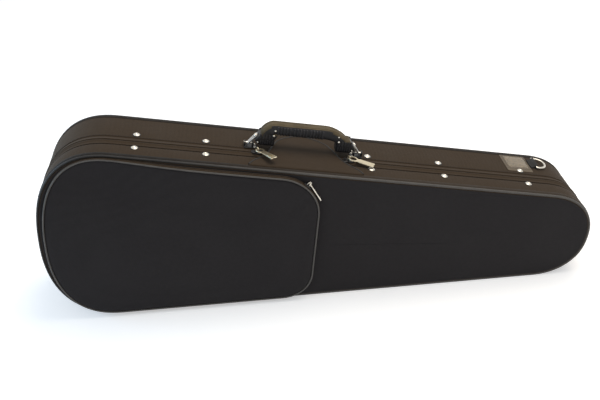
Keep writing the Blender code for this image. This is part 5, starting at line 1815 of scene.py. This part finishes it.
def viewpoint():
    s = stage_settings()
    target = Vector((-0.0283, 0, 0.1315))
    cos_up = math.cos(s.elevation)
    forward = Vector((math.sin(s.azimuth) * cos_up, math.cos(s.azimuth) * cos_up, -math.sin(s.elevation)))
    right = Vector((math.cos(s.azimuth), -math.sin(s.azimuth), 0))
    up = right.cross(forward)
    rolled = right * math.cos(s.roll) + up * math.sin(s.roll)
    over = up * math.cos(s.roll) - right * math.sin(s.roll)
    data = bpy.data.cameras.new("photo_view")
    data.lens = s.lens
    data.sensor_width = 36.0
    data.sensor_fit = "HORIZONTAL"
    data.clip_start = 0.05
    made = bpy.data.objects.new("photo_view", data)
    made.matrix_world = framed(rolled, over, -forward, target - forward * s.distance)
    bpy.context.scene.collection.objects.link(made)
    bpy.context.scene.camera = made
    bpy.context.scene.view_settings.view_transform = "Standard"


# Operators

class VIOLINCASE_OT_finishes(bpy.types.Operator):
    """Make the cloth, trim, metal and plush finishes"""

    bl_idname = "violin_case.finishes"
    bl_label = "Finishes"

    def execute(self, context):
        make_finishes()
        return {"FINISHED"}


class VIOLINCASE_OT_covers(bpy.types.Operator):
    """Build the cloth covers of the base and the lid, with their piping"""

    bl_idname = "violin_case.covers"
    bl_label = "Covers and Piping"

    def execute(self, context):
        c = case()
        cover("base", 1, back_y(), c.back_round, "nylon")
        cover("lid", -1, front_y(), c.front_round, "face")
        # The strips beside the cords are dark as painted shade; the lid's cord carries painted highlight and
        # shade.
        piping("base", 1, back_y(), c.back_round, "binding", "groove", 0.0048)
        piping("lid", -1, front_y(), c.front_round, "lid_binding", "lid_groove", 0.0018)
        return {"FINISHED"}


class VIOLINCASE_OT_zip(bpy.types.Operator):
    """Build the zip that closes the case: tapes, coils, seams, sliders and pulls"""

    bl_idname = "violin_case.zip"
    bl_label = "Main Zip"

    def execute(self, context):
        for prefix, inward in (("base", 1), ("lid", -1)):
            zip_tape(prefix, inward)
            zip_coil(prefix, inward)
            stitches(prefix, inward, case().band + TAPE_EDGE)
        for side in ("left", "right"):
            zip_slider(side)
        return {"FINISHED"}


class VIOLINCASE_OT_hinge(bpy.types.Operator):
    """Build the cloth hinge under the case"""

    bl_idname = "violin_case.hinge"
    bl_label = "Cloth Hinge"

    def execute(self, context):
        hinge_cloth()
        return {"FINISHED"}


class VIOLINCASE_OT_rivets(bpy.types.Operator):
    """Set the rivets along the top of the base and the lid"""

    bl_idname = "violin_case.rivets"
    bl_label = "Rivets"

    def execute(self, context):
        for prefix in ("base", "lid"):
            for number in range(1, RIVETS + 1):
                rivet_head(prefix, number)
        return {"FINISHED"}


class VIOLINCASE_OT_flap(bpy.types.Operator):
    """Build the bound flap that covers the zip between its sliders"""

    bl_idname = "violin_case.flap"
    bl_label = "Zip Flap"

    def execute(self, context):
        flap()
        return {"FINISHED"}


class VIOLINCASE_OT_handle(bpy.types.Operator):
    """Build the handle: grip, end blocks, straps, rivets and feet"""

    bl_idname = "violin_case.handle"
    bl_label = "Handle"

    def execute(self, context):
        handle_grip()
        handle_ribs()
        for side, sign in (("left", -1), ("right", 1)):
            for build in (end_block, block_ribs, block_pins, handle_strap, handle_foot):
                build(side, foot_frame(sign))
        return {"FINISHED"}


class VIOLINCASE_OT_tag(bpy.types.Operator):
    """Build the name tag with its clear pane"""

    bl_idname = "violin_case.tag"
    bl_label = "Name Tag"

    def execute(self, context):
        name_tag()
        return {"FINISHED"}


class VIOLINCASE_OT_strap_rings(bpy.types.Operator):
    """Build the rings for a shoulder strap and their tabs"""

    bl_idname = "violin_case.strap_rings"
    bl_label = "Strap Rings"

    def execute(self, context):
        for side in ("upper", "lower"):
            strap_ring(side)
        return {"FINISHED"}


class VIOLINCASE_OT_pocket(bpy.types.Operator):
    """Build the music pocket with its piping, gusset, zip and pull"""

    bl_idname = "violin_case.pocket"
    bl_label = "Music Pocket"

    def execute(self, context):
        pocket_panel()
        pocket_gusset()
        pocket_slider()
        return {"FINISHED"}


class VIOLINCASE_OT_linings(bpy.types.Operator):
    """Line the base and the lid with plush"""

    bl_idname = "violin_case.linings"
    bl_label = "Linings"

    def execute(self, context):
        lining("base_lining_plush", "base_lining", "base")
        lining("lid_lining_plush", "lid_lining", "lid")
        return {"FINISHED"}


class VIOLINCASE_OT_bed(bpy.types.Operator):
    """Build the plush bed, the neck cradle and the neck strap"""

    bl_idname = "violin_case.bed"
    bl_label = "Bed and Neck Rest"

    def execute(self, context):
        bed()
        neck_cradle()
        neck_strap()
        return {"FINISHED"}


class VIOLINCASE_OT_compartment(bpy.types.Operator):
    """Build the accessory compartment's board and lid"""

    bl_idname = "violin_case.compartment"
    bl_label = "Compartment"

    def execute(self, context):
        compartment()
        return {"FINISHED"}


class VIOLINCASE_OT_bow_holders(bpy.types.Operator):
    """Build the clips and loops that hold two bows in the lid"""

    bl_idname = "violin_case.bow_holders"
    bl_label = "Bow Holders"

    def execute(self, context):
        for side, sign in (("upper", 1), ("lower", -1)):
            bow_clip(side, sign)
            bow_loop(side, sign)
        return {"FINISHED"}


class VIOLINCASE_OT_stage(bpy.types.Operator):
    """Set up the floor, the lights and the camera"""

    bl_idname = "violin_case.stage"
    bl_label = "Stage"

    def execute(self, context):
        floor()
        surroundings()
        lamps()
        viewpoint()
        return {"FINISHED"}


OPERATORS = (
    VIOLINCASE_OT_finishes,
    VIOLINCASE_OT_covers,
    VIOLINCASE_OT_zip,
    VIOLINCASE_OT_hinge,
    VIOLINCASE_OT_rivets,
    VIOLINCASE_OT_flap,
    VIOLINCASE_OT_handle,
    VIOLINCASE_OT_tag,
    VIOLINCASE_OT_strap_rings,
    VIOLINCASE_OT_pocket,
    VIOLINCASE_OT_linings,
    VIOLINCASE_OT_bed,
    VIOLINCASE_OT_compartment,
    VIOLINCASE_OT_bow_holders,
    VIOLINCASE_OT_stage,
)


class VIOLINCASE_PT_builder(bpy.types.Panel):
    """Lists the pieces of the case and the sizes behind them"""

    bl_idname = "VIOLINCASE_PT_builder"
    bl_label = "Violin Case"
    bl_space_type = "VIEW_3D"
    bl_region_type = "UI"
    bl_category = "Violin Case"

    def draw(self, context):
        column = self.layout.column(align=True)
        for operator in OPERATORS:
            column.operator(operator.bl_idname)
        for name, kind in GROUPS:
            box = self.layout.box()
            box.label(text=kind.__doc__)
            group = getattr(context.scene, name)
            for key in kind.__annotations__:
                box.prop(group, key)


GROUPS = (
    ("violin_case", CaseSizes),
    ("violin_case_colours", CaseColours),
    ("violin_case_handle", HandleSizes),
    ("violin_case_pocket", PocketSizes),
    ("violin_case_interior", InteriorSizes),
    ("violin_case_stage", StageSettings),
)


def register():
    for name, kind in GROUPS:
        bpy.utils.register_class(kind)
        setattr(bpy.types.Scene, name, PointerProperty(type=kind))
    for operator in OPERATORS:
        bpy.utils.register_class(operator)
    bpy.utils.register_class(VIOLINCASE_PT_builder)


def unregister():
    bpy.utils.unregister_class(VIOLINCASE_PT_builder)
    for operator in reversed(OPERATORS):
        bpy.utils.unregister_class(operator)
    for name, kind in reversed(GROUPS):
        delattr(bpy.types.Scene, name)
        bpy.utils.unregister_class(kind)


def main():
    register()
    bpy.ops.violin_case.finishes()
    bpy.ops.violin_case.covers()
    bpy.ops.violin_case.zip()
    bpy.ops.violin_case.hinge()
    bpy.ops.violin_case.rivets()
    bpy.ops.violin_case.flap()
    bpy.ops.violin_case.handle()
    bpy.ops.violin_case.tag()
    bpy.ops.violin_case.strap_rings()
    bpy.ops.violin_case.pocket()
    bpy.ops.violin_case.linings()
    bpy.ops.violin_case.bed()
    bpy.ops.violin_case.compartment()
    bpy.ops.violin_case.bow_holders()
    bpy.ops.violin_case.stage()
    bpy.context.view_layer.update()


if __name__ == "__main__":
    main()
